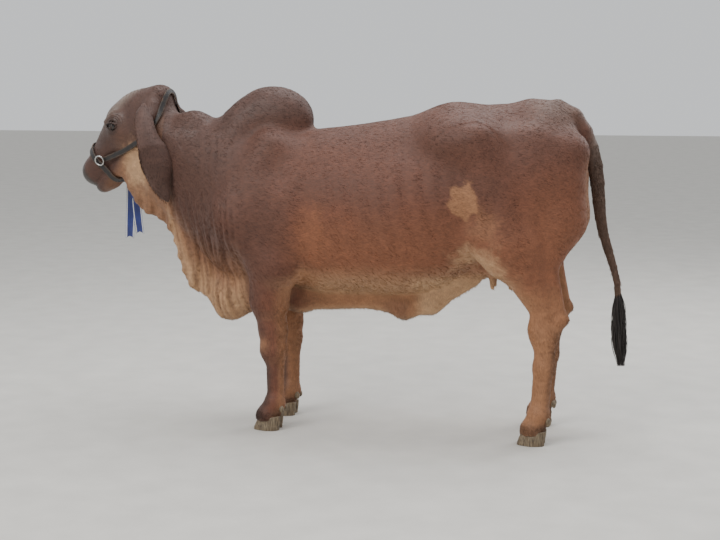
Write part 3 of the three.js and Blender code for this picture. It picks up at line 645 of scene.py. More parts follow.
    @classmethod
    def dewlap(cls) -> list[Piece]:
        """The hanging folds, one rod each, and the brisket.

        Returns:
            Their pieces.
        """
        out: list[Piece] = []
        for i, low in enumerate(dewlap_edge()):
            t = i / (cls.FOLDS - 1)
            sway = (1 if i % 2 else -1) * 11 * math.sin(math.pi * min(1.0, 0.1 + t))
            rise = 90 + 110 * math.sin(math.pi * min(1.0, t * 1.05))
            foot = vec(low[0] + 10, low[1] + sway, low[2] + cls.FOLD_THICKNESS)
            root = vec(low[0] + 50 + 30 * t, low[1] * 0.8 + sway * 0.4, low[2] + rise)
            out.append(Rod(24, a=foot, b=root, ra=cls.FOLD_THICKNESS, rb=cls.FOLD_THICKNESS + 20, flat=0.9))
        out.append(Mass(40, centre=vec(-705, 0, 505), radii=vec(62, 46, 58)))
        out.append(Rod(70, a=vec(-700, 0, 560), b=vec(-520, 0, 610), ra=75, rb=90))
        return out

    @staticmethod
    def underline() -> list[Piece]:
        """Chest floor, navel flap and udder with small teats.

        Returns:
            Their pieces.
        """
        out: list[Piece] = [
            Rod(60, a=vec(-560, 0, 590), b=vec(-390, 0, 548), ra=75, rb=52, flat=0.8),
            Rod(50, a=vec(-390, 0, 548), b=vec(-30, 0, 562), ra=50, rb=46, flat=0.72),
            Rod(40, a=vec(-30, 0, 562), b=vec(70, 0, 530), ra=46, rb=50, flat=0.62),
            Rod(40, a=vec(70, 0, 530), b=vec(180, 0, 560), ra=50, rb=52, flat=0.55),
            Rod(50, a=vec(180, 0, 560), b=vec(340, 0, 672), ra=50, rb=60, flat=0.6),
            Mass(50, centre=vec(470, 0, 740), radii=vec(130, 92, 78)),
        ]
        for s in (-1, 1):
            for x in (445, 520):
                out.append(Rod(16, a=vec(x, s * 38, 690), b=vec(x + 4, s * 42, 628), ra=17, rb=10))
        return out

    @staticmethod
    def head() -> list[Piece]:
        """Skull, cheeks, jaw and muzzle.

        Returns:
            Their pieces.
        """
        f, tip = HEAD_FRAME, HEAD_LENGTH
        out: list[Piece] = [
            Mass(40, frame=f, centre=on_head(95, 0, -45), radii=vec(118, 90, 96)),
            Mass(50, frame=f, centre=on_head(190, 0, 14), radii=vec(132, 80, 92)),
            Mass(40, frame=f, centre=on_head(12, 0, -34), radii=vec(44, 60, 36)),
            Rod(40, frame=f, a=on_head(250, 0, 40), b=on_head(tip - 75, 0, -12), ra=68, rb=56),
            Mass(36, frame=f, centre=on_head(tip - 52, 0, -22), radii=vec(54, 70, 60)),
            Mass(26, frame=f, centre=on_head(tip - 66, 0, -92), radii=vec(58, 46, 38)),
            Rod(50, frame=f, a=on_head(110, 0, -105), b=on_head(300, 0, -92), ra=78, rb=62),
            Rod(30, frame=f, a=on_head(300, 0, -92), b=on_head(tip - 90, 0, -88), ra=58, rb=44),
        ]
        for s in (-1, 1):
            out.append(Mass(30, frame=f, centre=on_head(222, s * 80, 16), radii=vec(52, 34, 34), turn=(0, -12, 0)))
            out.append(Rod(40, frame=f, a=on_head(250, s * 46, -22), b=on_head(tip - 90, s * 28, -30), ra=58, rb=44))
            out.append(Mass(40, frame=f, centre=on_head(205, s * 64, -78), radii=vec(90, 38, 88)))
            out.append(Rod(30, frame=f, a=on_head(232, s * 58, -132), b=on_head(tip - 100, s * 22, -104), ra=38, rb=30))
        return out

    @staticmethod
    def tail() -> list[Piece]:
        """The tail down to the switch.

        Returns:
            Its pieces.
        """
        line = tail_line(13)
        return [
            Rod(14 if i < 2 else 3, a=line[i], b=line[i + 1], ra=tail_radius(i / 12), rb=tail_radius((i + 1) / 12))
            for i in range(12)
        ]

    @staticmethod
    def face_details() -> list[Piece]:
        """Lids, sockets, nostrils, mouth and the roots of the ears.

        Returns:
            Their pieces.
        """
        f, tip = HEAD_FRAME, HEAD_LENGTH
        out: list[Piece] = []
        for s in (-1, 1):
            out.append(Mass(8, frame=f, carve=True, centre=on_head(EYE_ALONG, s * 113, EYE_UP), radii=vec(20, 12, 20)))
            for upper in (1, -1):
                arc = []
                for i in range(7):
                    a = math.pi * (i / 6)
                    run, rise = 27 * math.cos(a), (13 if upper > 0 else 10) * math.sin(a) * upper
                    depth = 106 + 14 * math.sin(a) ** 0.7 if 0 < i < 6 else 106
                    arc.append(by_eye(run, rise, s * depth))
                for p, q in zip(arc, arc[1:]):
                    out.append(Rod(5, frame=f, a=p, b=q, ra=5.0 if upper > 0 else 4.0, rb=5.0 if upper > 0 else 4.0))
            out.append(Rod(26, frame=f, a=on_head(205, s * 92, 44), b=on_head(262, s * 86, 50), ra=13, rb=11))
            out.append(Rod(30, frame=f, a=on_head(45, s * 70, -70), b=on_head(62, s * 104, -100), ra=34, rb=27))
            out.append(Mass(8, frame=f, carve=True, centre=on_head(tip - 34, s * 41, 2), radii=vec(15, 13, 8),
                            turn=(0, -28, s * 34)))
            out.append(Rod(10, frame=f, a=on_head(tip - 52, s * 46, 14), b=on_head(tip - 20, s * 27, 15), ra=7, rb=6))
            lip = [on_head(tip - 112, s * 62, -84), on_head(tip - 80, s * 60, -84), on_head(tip - 45, s * 50, -82),
                   on_head(tip - 12, s * 27, -74), on_head(tip - 2, 0, -70)]
            for p, q in zip(lip, lip[1:]):
                out.append(Rod(7, frame=f, carve=True, a=p, b=q, ra=4.5, rb=4.5))
        return out

    @classmethod
    def coarse(cls) -> Field:
        """The body without the face's fine forms.

        Returns:
            The field.
        """
        pieces = cls.trunk()
        for s in (-1, 1):
            pieces += cls.shoulder(s) + cls.hind_quarter(s)
        for s in (-1, 1):
            pieces += cls.foreleg(s) + cls.hind_leg(s)
        pieces += cls.neck_and_hump() + cls.underline() + cls.dewlap() + cls.head() + cls.tail()
        return Field(pieces)

    @classmethod
    def full(cls) -> Field:
        """The whole body with the face's fine forms.

        Returns:
            The field.
        """
        return Field(cls.coarse().pieces + cls.face_details())


# Wrapping the field in one skin


def surface_net(body: Field, low: Array, high: Array, cell: float, level: float) -> tuple[Array, Array]:
    """Wraps a field's surface in quads, one point for each crossed cell.

    Args:
        body: the field.
        low: lowest corner of the grid.
        high: highest corner.
        cell: size of a cell.
        level: the distance at which the surface stands.

    Returns:
        Points as rows, and quads as rows of four point numbers.
    """
    counts = tuple(int(math.ceil(n)) + 1 for n in (high - low) / cell)
    d = body.on_grid(low, counts, cell) - np.float32(level)
    corner = {}
    inside = d < 0
    some = np.zeros(tuple(n - 1 for n in counts), bool)
    every = np.ones_like(some)
    for o in np.ndindex(2, 2, 2):
        part = tuple(slice(o[i], counts[i] - 1 + o[i]) for i in range(3))
        corner[o] = part
        some |= inside[part]
        every &= inside[part]
    cells = np.argwhere(some & ~every)
    number = np.full(some.shape, -1, np.int32)
    number[tuple(cells.T)] = np.arange(len(cells))
    value = {o: d[part][tuple(cells.T)] for o, part in corner.items()}
    total = np.zeros((len(cells), 3))
    hits = np.zeros(len(cells))
    for o in value:
        for axis in range(3):
            if o[axis]:
                continue
            e = tuple(1 if i == axis else o[i] for i in range(3))
            a, b = value[o], value[e]
            cross = (a < 0) != (b < 0)
            t = np.where(cross, a / np.where(cross, a - b, 1), 0)
            point = np.tile(np.array(o, float), (len(cells), 1))
            point[:, axis] += t
            total[cross] += point[cross]
            hits[cross] += 1
    points = low + (cells + total / hits[:, None]) * cell
    quads = []
    for axis in range(3):
        u, v = (axis + 1) % 3, (axis + 2) % 3
        near = [slice(1, n - 1) for n in counts]
        far = list(near)
        near[axis] = slice(0, counts[axis] - 1)
        far[axis] = slice(1, counts[axis])
        here, there = inside[tuple(near)], inside[tuple(far)]
        for turned in (False, True):
            found = np.argwhere((there if turned else here) & ~(here if turned else there))
            base = found + np.array([0 if i == axis else 1 for i in range(3)])
            ring = []
            for du, dv in ((-1, -1), (0, -1), (0, 0), (-1, 0)):
                c = base.copy()
                c[:, u] += du
                c[:, v] += dv
                ring.append(number[tuple(c.T)])
            quad = np.stack(ring, 1)
            quads.append(quad[:, ::-1] if turned else quad)
    return points, np.vstack(quads)


# Tones and markings


class Tone(Enum):
    """Tones of the coat, as display colours."""

    RED = (104, 63, 46)
    DEEP = (84, 54, 43)
    UMBER = (76, 53, 45)
    GREY = (118, 102, 92)
    ORANGE = (128, 80, 55)
    TAN = (150, 106, 74)
    CREAM = (184, 148, 112)
    DARK = (56, 42, 36)
    ASH = (96, 82, 72)
    BLACK = (34, 31, 31)
    MUZZLE = (58, 54, 52)

    @property
    def linear(self) -> Array:
        """The tone as linear light."""
        return linear(self.value)


def linear(colour: Sequence[float]) -> Array:
    """Turns a display colour of 0 to 255 into linear light.

    Args:
        colour: red, green and blue.

    Returns:
        The three linear values.
    """
    c = np.array(colour, float) / 255
    return np.where(c <= 0.04045, c / 12.92, ((c + 0.055) / 1.055) ** 2.4)


def value_noise(p: Array, size: float, seed: int) -> Array:
    """Gives smooth noise over space.

    Args:
        p: points as rows.
        size: how far apart its bumps lie.
        seed: which pattern.

    Returns:
        Values from 0 to 1.
    """
    q = p / size
    cell = np.floor(q).astype(np.int64)
    f = q - cell
    f = f * f * (3 - 2 * f)
    total = np.zeros(len(p))
    for o in np.ndindex(2, 2, 2):
        c = cell + np.array(o)
        h = (c[:, 0] * 73856093) ^ (c[:, 1] * 19349663) ^ (c[:, 2] * 83492791) ^ (seed * 40503)
        h = ((h ^ (h >> 13)) * 1274126177) & 0x7FFFFFFF
        value = ((h ^ (h >> 11)) & 0xFFFF) / 65535
        total += value * np.prod(np.where(np.array(o), f, 1 - f), axis=1)
    return total


def tailward(p: Array) -> Array:
    """Gives how far back points lie, along the slant of the hanging tail.

    Args:
        p: points as rows.

    Returns:
        One distance for each, above 850 on the tail.
    """
    return p[:, 0] + 0.12 * (1150 - p[:, 2])


def dewlap_folds(p: Array, n: Array) -> tuple[Array, Array, Array]:
    """Gives the upright folds of the loose skin at the chest.

    Args:
        p: points as rows.
        n: the hide's outward directions.

    Returns:
        How loose the skin is, how sharp the fold is there, and the slow drift that bends the folds.
    """
    x, z = p[:, 0], p[:, 2]
    drift = value_noise(p * vec(1, 1, 0.3), 120, 24)
    fold = np.abs(np.sin(math.pi * ((x + 0.12 * (z - 700)) / 30 + 1.6 * drift))) ** 3
    loose = smoothstep(-560, -640, x) * (1 - smoothstep(860, 1060, z)) * np.abs(n[:, 1])
    return loose, fold, drift


@dataclass(frozen=True)
class Patch:
    """A patch of another tone, with a ragged edge."""

    centre: tuple[float, float, float]
    radii: tuple[float, float, float]
    tone: Tone
    strength: float = 0.8
    soft: float = 0.35
    ragged: float = 0.5

    def mask(self, p: Array) -> Array:
        """Tells how much of the patch covers each point.

        Args:
            p: points as rows.

        Returns:
            Shares from 0 to its strength.
        """
        d = np.linalg.norm((p - vec(*self.centre)) / vec(*self.radii), axis=1)
        d = d + self.ragged * (value_noise(p, 26, 5) - 0.5) + 0.5 * self.ragged * (value_noise(p, 9, 6) - 0.5)
        return self.strength * (1 - smoothstep(1 - self.soft, 1 + self.soft, d))


@dataclass(frozen=True)
class Markings:
    """Colour of the coat at every point of the hide, shared by skin and tufts."""

    patches: tuple[Patch, ...] = (
        Patch((349, -285, 1004), (58, 60, 84), Tone.TAN, 0.85, 0.14, 0.5),
        Patch((430, -270, 900), (60, 60, 70), Tone.TAN, 0.35, 0.6, 0.9),
        Patch((260, -280, 1150), (9, 30, 9), Tone.CREAM, 0.7, 0.3, 0.3),
        Patch((-470, -200, 1290), (13, 40, 12), Tone.CREAM, 0.5, 0.4, 0.3),
        Patch((-360, -250, 1215), (11, 40, 12), Tone.CREAM, 0.55, 0.4, 0.3),
        Patch((790, -110, 900), (14, 40, 13), Tone.CREAM, 0.5, 0.4, 0.3),
        Patch((-270, -262, 800), (62, 70, 150), Tone.ORANGE, 0.85, 0.5, 0.5),
        Patch((-270, 262, 800), (62, 70, 150), Tone.ORANGE, 0.85, 0.5, 0.5),
        Patch((-360, -150, 655), (70, 60, 80), Tone.TAN, 0.85, 0.5, 0.4),
        Patch((-360, 150, 655), (70, 60, 80), Tone.TAN, 0.85, 0.5, 0.4),
        Patch((420, -190, 740), (120, 80, 90), Tone.CREAM, 0.75, 0.5, 0.6),
        Patch((420, 190, 740), (120, 80, 90), Tone.CREAM, 0.75, 0.5, 0.6),
        Patch((-1110, -20, 1120), (66, 110, 96), Tone.CREAM, 0.75, 0.5, 0.7),
        Patch((-1110, 120, 1120), (66, 80, 96), Tone.CREAM, 0.7, 0.5, 0.7),
    )

    def colour(self, p: Array, n: Array) -> tuple[Array, Array]:
        """Gives the coat's colour and how wet or glossy it lies.

        Args:
            p: points as rows.
            n: the hide's outward direction at each.

        Returns:
            Linear colours as rows, and gloss from 0 to 1.
        """
        x, y, z = p.T
        q = HEAD_FRAME.back(p)
        along, side, up = -q[:, 0], q[:, 1], q[:, 2]
        broad = value_noise(p, 150, 1)
        fine = value_noise(p, 34, 2)
        tiny = value_noise(p, 12, 3)
        out = np.tile(Tone.RED.linear, (len(p), 1))

        def lay(tone: Tone, share: Array) -> None:
            out[:] = out * (1 - share[:, None]) + tone.linear * share[:, None]

        lay(Tone.DEEP, 0.45 * smoothstep(0.35, 0.75, broad))
        lay(Tone.DEEP, 0.75 * smoothstep(980, 1260, z + 60 * (broad - 0.5)))
        lay(Tone.ORANGE, 0.85 * (1 - smoothstep(720, 1060, z + 60 * (fine - 0.5))) * smoothstep(-460, -250, x))
        lay(Tone.TAN, 0.9 * (1 - smoothstep(585, 700, z + 30 * (fine - 0.5))) * smoothstep(-420, -260, x))
        under = smoothstep(0.2, 0.9, -n[:, 2])
        lay(Tone.CREAM, 0.55 * under * (1 - smoothstep(640, 760, z)) * smoothstep(-620, -420, x))
        flap = (1 - smoothstep(545, 575, z)) * smoothstep(-60, 20, x) * (1 - smoothstep(70, 110, x))
        lay(Tone.DEEP, 0.4 * flap)
        lay(Tone.CREAM, 0.8 * (1 - smoothstep(640, 700, z)) * smoothstep(100, 170, x) * (1 - smoothstep(500, 560, x)))
        neck = smoothstep(-520, -760, x - 0.25 * (z - 1100) + 50 * (broad - 0.5))
        lay(Tone.DEEP, 0.8 * (1 - smoothstep(-520, -300, x)) * smoothstep(560, 700, z))
        lay(Tone.UMBER, 0.7 * neck)
        lay(Tone.UMBER, 0.85 * smoothstep(1270, 1360, z) * (1 - smoothstep(-300, -180, x)))
        hang = (1 - smoothstep(-640, -560, x)) * smoothstep(-1240, -1160, x)
        line = np.interp(x, [-1210, -1110, -1030, -960, -900, -830, -740, -640, -560],
                         [1075, 935, 890, 800, 640, 560, 500, 500, 560])
        height = z - line + 26 * (fine - 0.5)
        lay(Tone.TAN, 0.85 * hang * (1 - smoothstep(60, 330, height)))
        lay(Tone.CREAM, 0.7 * hang * (1 - smoothstep(10, 190, height)))
        loose, fold, _ = dewlap_folds(p, n)
        # Painted shade: the dewlap is darker in the creases between its hanging folds.
        lay(Tone.DEEP, 0.4 * loose * fold)
        rear = smoothstep(520, 700, x)
        lay(Tone.ORANGE, 0.45 * rear * (1 - smoothstep(900, 1250, z)))
        lay(Tone.ASH, 0.35 * rear * smoothstep(1250, 1380, z))
        inner = smoothstep(0.3, 0.9, -np.sign(y) * n[:, 1]) * (1 - smoothstep(700, 900, z)) * smoothstep(60, 90, z)
        lay(Tone.TAN, 0.7 * inner)
        fore = (1 - smoothstep(-330, -300, x)) * (1 - smoothstep(590, 680, z)) * smoothstep(-620, -590, x)
        lay(Tone.DEEP, 0.8 * fore * smoothstep(-0.2, 0.6, -n[:, 0]))
        lay(Tone.TAN, 0.7 * fore * smoothstep(0.15, 0.8, n[:, 0]))
        lay(Tone.TAN, 0.6 * fore * np.exp(-(((z - 372) / 34) ** 2)) * smoothstep(-0.3, 0.7, -n[:, 0]))
        lay(Tone.DARK, 0.6 * fore * (1 - smoothstep(250, 330, z)) * smoothstep(0, 0.8, -n[:, 0]))
        hind = smoothstep(480, 520, x) * (1 - smoothstep(420, 620, z))
        lay(Tone.TAN, 0.7 * hind)
        lay(Tone.DARK, 0.35 * hind * smoothstep(0.2, 0.9, n[:, 0]))
        lay(Tone.DARK, 0.5 * (1 - smoothstep(70, 105, z)))
        escutcheon = smoothstep(690, 760, x) * np.exp(-(((np.abs(y) - 95) / 40) ** 2)) * (1 - smoothstep(1120, 1220, z))
        lay(Tone.TAN, 0.6 * escutcheon)
        tail = smoothstep(800, 850, tailward(p)) * (1 - smoothstep(38, 56, np.abs(y)))
        lay(Tone.ASH, 0.75 * tail)
        head = smoothstep(-20, 30, along) * (1 - smoothstep(150, 190, np.abs(side))) * (x < -980)
        lay(Tone.UMBER, 0.75 * head)
        brow = head * smoothstep(20, 75, up) * (1 - smoothstep(300, 430, along))
        # Greyer forehead: partly the hair's own grey, partly a painted sheen where the forehead faces the light.
        lay(Tone.GREY, 0.85 * brow)
        lay(Tone.DARK, 0.55 * head * np.exp(-(((along - 330) / 90) ** 2)) * smoothstep(-60, 20, up))
        eye = np.sqrt(((along - EYE_ALONG) / 44) ** 2 + ((up - EYE_UP) / 36) ** 2)
        lay(Tone.DARK, 0.75 * head * (1 - smoothstep(0.55, 1.25, eye)) * smoothstep(60, 95, np.abs(side)))
        jaw = head * (1 - smoothstep(-150, -100, up))
        lay(Tone.TAN, 0.45 * jaw)
        bare = head * smoothstep(500, 530, along + 0.25 * up)
        lay(Tone.MUZZLE, 0.92 * bare)
        for patch in self.patches:
            lay(patch.tone, patch.mask(p))
        out *= (0.86 + 0.18 * fine + 0.12 * tiny)[:, None]
        nape = np.exp(-(((x + 1010) / 70) ** 2) - ((z - 1330) / 110) ** 2)
        lay(Tone.UMBER, 0.9 * nape)
        wet = 0.55 * smoothstep(0.62, 0.8, value_noise(p, 60, 9)) * neck + 0.5 * brow + 0.9 * bare
        wet = wet + 0.3 * smoothstep(1150, 1400, z) + 0.15
        return out, np.clip(wet, 0, 1)

    @staticmethod
    def lie(p: Array, n: Array) -> Array:
        """Gives the direction in which the coat lies.

        Args:
            p: points as rows.
            n: the hide's outward direction at each.

        Returns:
            Unit directions along the hide.
        """
        x, y, z = p.T
        q = HEAD_FRAME.back(p)
        along = -q[:, 0]
        flow = np.stack([np.full(len(p), 0.9), 0 * y, -0.25 - 0.5 * (1 - smoothstep(700, 1000, z))], 1)
        low = (1 - smoothstep(430, 720, z))[:, None]
        flow = flow * (1 - low) + vec(0.12, 0, -1) * low
        tail = smoothstep(760, 830, x + 0.12 * (1150 - z))[:, None]
        flow = flow * (1 - tail) + vec(0.08, 0, -1) * tail
        hang = ((1 - smoothstep(-720, -560, x)) * (1 - smoothstep(900, 1200, z)))[:, None]
        flow = flow * (1 - hang) + vec(0.25, 0, -1) * hang
        head = ((x < -980) * smoothstep(0, 60, along))[:, None]
        down = HEAD_FRAME.turn @ vec(-1, 0, 0)
        turned = np.where(along[:, None] > 150, down, -down)
        flow = flow * (1 - head) + turned * head
        flow = flow + 0.35 * (np.stack([value_noise(p, 90, s) for s in (11, 12, 13)], 1) - 0.5)
        return unit(flow - (flow * n).sum(1, keepdims=True) * n)


# Mesh and shader helpers

SHIFT_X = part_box("hoof_fore_left")[0].x * 1000 - HOOF_FRONT_EDGE


def placed(p: Array) -> Array:
    """Takes points of the animal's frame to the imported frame, in metres.

    Args:
        p: points as rows, in millimetres.

    Returns:
        The points to give to Blender.
    """
    return (np.asarray(p, float) + vec(SHIFT_X, 0, 0)) / 1000


def add_mesh(name: str, points: Array, faces: Sequence[Sequence[int]], material: bpy.types.Material,
             smooth: bool = True) -> bpy.types.Object:
    """Makes an object that rides on the model's body.

    Args:
        name: the piece's name.
        points: its points in the animal's frame, in millimetres.
        faces: rows of point numbers.
        material: its finish.
        smooth: whether it is shaded smooth.

    Returns:
        The new object.
    """
    mesh = bpy.data.meshes.new(name)
    rows = faces.tolist() if isinstance(faces, np.ndarray) else [list(f) for f in faces]
    mesh.from_pydata(placed(points).tolist(), [], rows)
    mesh.update()
    mesh.polygons.foreach_set("use_smooth", np.full(len(mesh.polygons), smooth))
    mesh.materials.append(material)
    made = bpy.data.objects.new(name, mesh)
    bpy.context.scene.collection.objects.link(made)
    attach(made, "root")
    return made


def paint(made: bpy.types.Object, name: str, values: Array) -> None:
    """Stores a value or a colour at each point of a mesh.

    Args:
        made: the object.
        name: the attribute's name.
        values: one number, or red, green and blue, for each point.
    """
    if values.ndim == 1:
        layer = made.data.attributes.new(name, "FLOAT", "POINT")
        layer.data.foreach_set("value", values.astype(np.float32))
        return
    layer = made.data.color_attributes.new(name, "FLOAT_COLOR", "POINT")
    full = np.ones((len(values), 4), np.float32)
    full[:, :3] = values
    layer.data.foreach_set("color", full.ravel())


def loft_faces(rings: int, sides: int, hoop: bool = False) -> list[list[int]]:
    """Joins rings of points in order into a closed body.

    Args:
        rings: how many rings.
        sides: points in each.
        hoop: whether the last ring joins the first, in place of two filled ends.

    Returns:
        Faces as rows of point numbers.
    """
    faces = []
    for i in range(rings - 1):
        for j in range(sides):
            k = (j + 1) % sides
            faces.append([i * sides + j, i * sides + k, (i + 1) * sides + k, (i + 1) * sides + j])
    last = (rings - 1) * sides
    if hoop:
        return faces + [[last + j, last + (j + 1) % sides, (j + 1) % sides, j] for j in range(sides)]
    return faces + [list(range(sides))[::-1], [last + j for j in range(sides)]]


def shifted(faces: Sequence[Sequence[int]], start: int) -> list[list[int]]:
    """Renumbers faces for points that follow others.

    Args:
        faces: rows of point numbers from 0.
        start: how many points come before.

    Returns:
        The renumbered rows.
    """
    return [[k + start for k in face] for face in faces]


def lay_out(made: bpy.types.Object, places: Array) -> None:
    """Stores each point's place on the flat layout.

    Args:
        made: the object.
        places: rows of two numbers from 0 to 1, one for each point.
    """
    layer = made.data.uv_layers.new(name="OFBake")
    corners = np.zeros(len(made.data.loops), np.int32)
    made.data.loops.foreach_get("vertex_index", corners)
    layer.data.foreach_set("uv", places[corners].astype(np.float32).ravel())


class Shader:
    """A material's node graph, with short calls for the usual nodes."""

    def __init__(self, name: str, roughness: float = 0.6, specular: float = 0.4) -> None:
        """Starts a material.

        Args:
            name: its name.
            roughness: the surface's roughness.
            specular: its specular level.
        """
        self.material = bpy.data.materials.new(name)
        self.material.use_nodes = True
        self.tree = self.material.node_tree
        self.skin = self.tree.nodes["Principled BSDF"]
        self.skin.inputs["Roughness"].default_value = roughness
        self.skin.inputs["Specular IOR Level"].default_value = specular

    def node(self, kind: str, settings: Optional[dict[str, object]] = None, **inputs: object) -> bpy.types.Node:
        """Adds a node, sets its properties and fills or links its inputs.

        Args:
            kind: Blender's name of the node.
            settings: properties of the node itself.
            inputs: input names, with underscores for spaces, and a value or a socket for each.

        Returns:
            The node.
        """
        made = self.tree.nodes.new(kind)
        for key, value in (settings or {}).items():
            setattr(made, key, value)
        for key, value in inputs.items():
            numbered = key[0] == "i" and key[1:].isdigit()
            socket = made.inputs[int(key[1:]) if numbered else key.replace("_", " ")]
            if isinstance(value, bpy.types.NodeSocket):
                self.tree.links.new(value, socket)
            else:
                socket.default_value = value
        return made

    def attribute(self, name: str) -> bpy.types.Node:
        """Reads a stored attribute."""
        return self.node("ShaderNodeAttribute", {"attribute_name": name})

    def place(self, scale: Sequence[float] = (1, 1, 1), turn: Sequence[float] = (0, 0, 0)) -> bpy.types.NodeSocket:
        """Gives object coordinates, stretched and turned.

        Args:
            scale: stretch along each axis.
            turn: turn about each axis.

        Returns:
            The vector socket.
        """
        where = self.node("ShaderNodeTexCoord").outputs["Object"]
        return self.node("ShaderNodeMapping", Vector=where, Scale=tuple(scale), Rotation=tuple(turn)).outputs[0]

    def noise(self, vector: bpy.types.NodeSocket, scale: float, detail: float = 3.0) -> bpy.types.NodeSocket:
        """Adds a noise texture and gives its value.

        Args:
            vector: where it is read.
            scale: how fine it is.
            detail: how many finer layers it has.

        Returns:
            The value socket.
        """
        return self.node("ShaderNodeTexNoise", Vector=vector, Scale=scale, Detail=detail).outputs[0]

    def math(self, operation: str, a: object, b: object = 0.0) -> bpy.types.NodeSocket:
        """Adds one sum.

        Args:
            operation: Blender's name of it.
            a: first value or socket.
            b: second value or socket.

        Returns:
            The result's socket.
        """
        return self.node("ShaderNodeMath", {"operation": operation}, i0=a, i1=b).outputs[0]

    def ramp(self, value: bpy.types.NodeSocket, low: float, high: float, start: float = 0.0,
             end: float = 1.0) -> bpy.types.NodeSocket:
        """Maps a value's range onto another.

        Args:
            value: what is mapped.
            low: the value that gives start.
            high: the value that gives end.
            start: result at low.
            end: result at high.

        Returns:
            The result's socket.
        """
        return self.node("ShaderNodeMapRange", i0=value, i1=low, i2=high, i3=start, i4=end).outputs[0]

    def mix(self, share: object, a: object, b: object, blend: str = "MIX") -> bpy.types.NodeSocket:
        """Mixes two colours.

        Args:
            share: how much of the second.
            a: first colour or socket.
            b: second colour or socket.
            blend: how they combine.

        Returns:
            The colour socket.
        """
        return self.node("ShaderNodeMix", {"data_type": "RGBA", "blend_type": blend}, i0=share, i6=a, i7=b).outputs[2]

    def bump(self, height: bpy.types.NodeSocket, strength: float, distance: float,
             over: Optional[bpy.types.NodeSocket] = None) -> bpy.types.NodeSocket:
        """Adds a bump from a height.

        Args:
            height: the height socket.
            strength: how much of it counts.
            distance: its depth in metres.
            over: an earlier bump to build on.

        Returns:
            The normal socket.
        """
        made = self.node("ShaderNodeBump", Height=height, Strength=strength, Distance=distance)
        if over is not None:
            self.tree.links.new(over, made.inputs["Normal"])
        return made.outputs[0]

    def finish(self, colour: object, normal: Optional[bpy.types.NodeSocket] = None,
               roughness: Optional[bpy.types.NodeSocket] = None) -> bpy.types.Material:
        """Links the results to the surface.

        Args:
            colour: colour or socket.
            normal: normal socket.
            roughness: roughness socket.

        Returns:
            The material.
        """
        for name, value in (("Base Color", colour), ("Normal", normal), ("Roughness", roughness)):
            if isinstance(value, bpy.types.NodeSocket):
                self.tree.links.new(value, self.skin.inputs[name])
            elif value is not None:
                self.skin.inputs[name].default_value = value
        return self.material


def rgba(tone: Sequence[float]) -> tuple[float, float, float, float]:
    """Turns a display colour into a socket's value."""
    r, g, b = linear(tone)
    return float(r), float(g), float(b), 1.0


# Finishes


@dataclass(frozen=True)
class Finish:
    """A finish that can be made into a material under its name."""

    name: str

    def make(self) -> bpy.types.Material:
        """Builds the material.

        Returns:
            The material.
        """
        raise NotImplementedError


@dataclass(frozen=True)
class CoatFinish(Finish):
    """Short sleek hair over skin, coloured by the stored markings."""

    grain: float = 1.0
    sheen: float = 0.05

    def make(self) -> bpy.types.Material:
        """See Finish."""
        s = Shader(self.name, 0.55, 0.35)
        s.skin.inputs["Sheen Weight"].default_value = self.sheen
        s.skin.inputs["Sheen Roughness"].default_value = 0.4
        coat = s.attribute("coat").outputs["Color"]
        wet = s.attribute("wet").outputs["Fac"]
        leg = s.attribute("upright").outputs["Fac"]
        lengthways = s.noise(s.place((0.16, 1, 0.8), (0, 0.25, 0)), 420, 2)
        downwards = s.noise(s.place((1, 1, 0.14)), 420, 2)
        hair = s.node("ShaderNodeMix", {"data_type": "FLOAT"}, i0=leg, i2=lengthways, i3=downwards).outputs[0]
        clump = s.noise(s.place((0.5, 1, 1), (0, 0.3, 0)), 70, 3)
        pores = s.node("ShaderNodeTexVoronoi", Vector=s.place(), Scale=260.0).outputs[0]
        tone = s.mix(1.0, coat, s.ramp(hair, 0.3, 0.7, 0.78, 1.22), "MULTIPLY")
        tone = s.mix(1.0, tone, s.ramp(clump, 0.3, 0.7, 0.88, 1.12), "MULTIPLY")
        normal = s.bump(hair, 0.55 * self.grain, 0.0012)
        normal = s.bump(clump, 0.35 * self.grain, 0.003, normal)
        normal = s.bump(s.math("MULTIPLY", pores, s.attribute("bare").outputs["Fac"]), 0.6, 0.0016, normal)
        rough = s.math("ADD", s.ramp(wet, 0, 1, 0.66, 0.36), s.ramp(hair, 0.3, 0.7, -0.05, 0.05))
        return s.finish(tone, normal, rough)


@dataclass(frozen=True)
class TuftFinish(Finish):
    """Single tufts of hair, each with its root's colour."""

    roughness: float = 0.62

    def make(self) -> bpy.types.Material:
        """See Finish."""
        s = Shader(self.name, self.roughness, 0.3)
        s.skin.inputs["Sheen Weight"].default_value = 0.04
        coat = s.attribute("coat").outputs["Color"]
        wet = s.attribute("wet").outputs["Fac"]
        grain = s.noise(s.place((0.4, 1, 1)), 300, 2)
        tone = s.mix(1.0, coat, s.ramp(grain, 0.3, 0.7, 0.9, 1.1), "MULTIPLY")
        return s.finish(tone, s.bump(grain, 0.3, 0.0006), s.ramp(wet, 0, 1, self.roughness, 0.38))


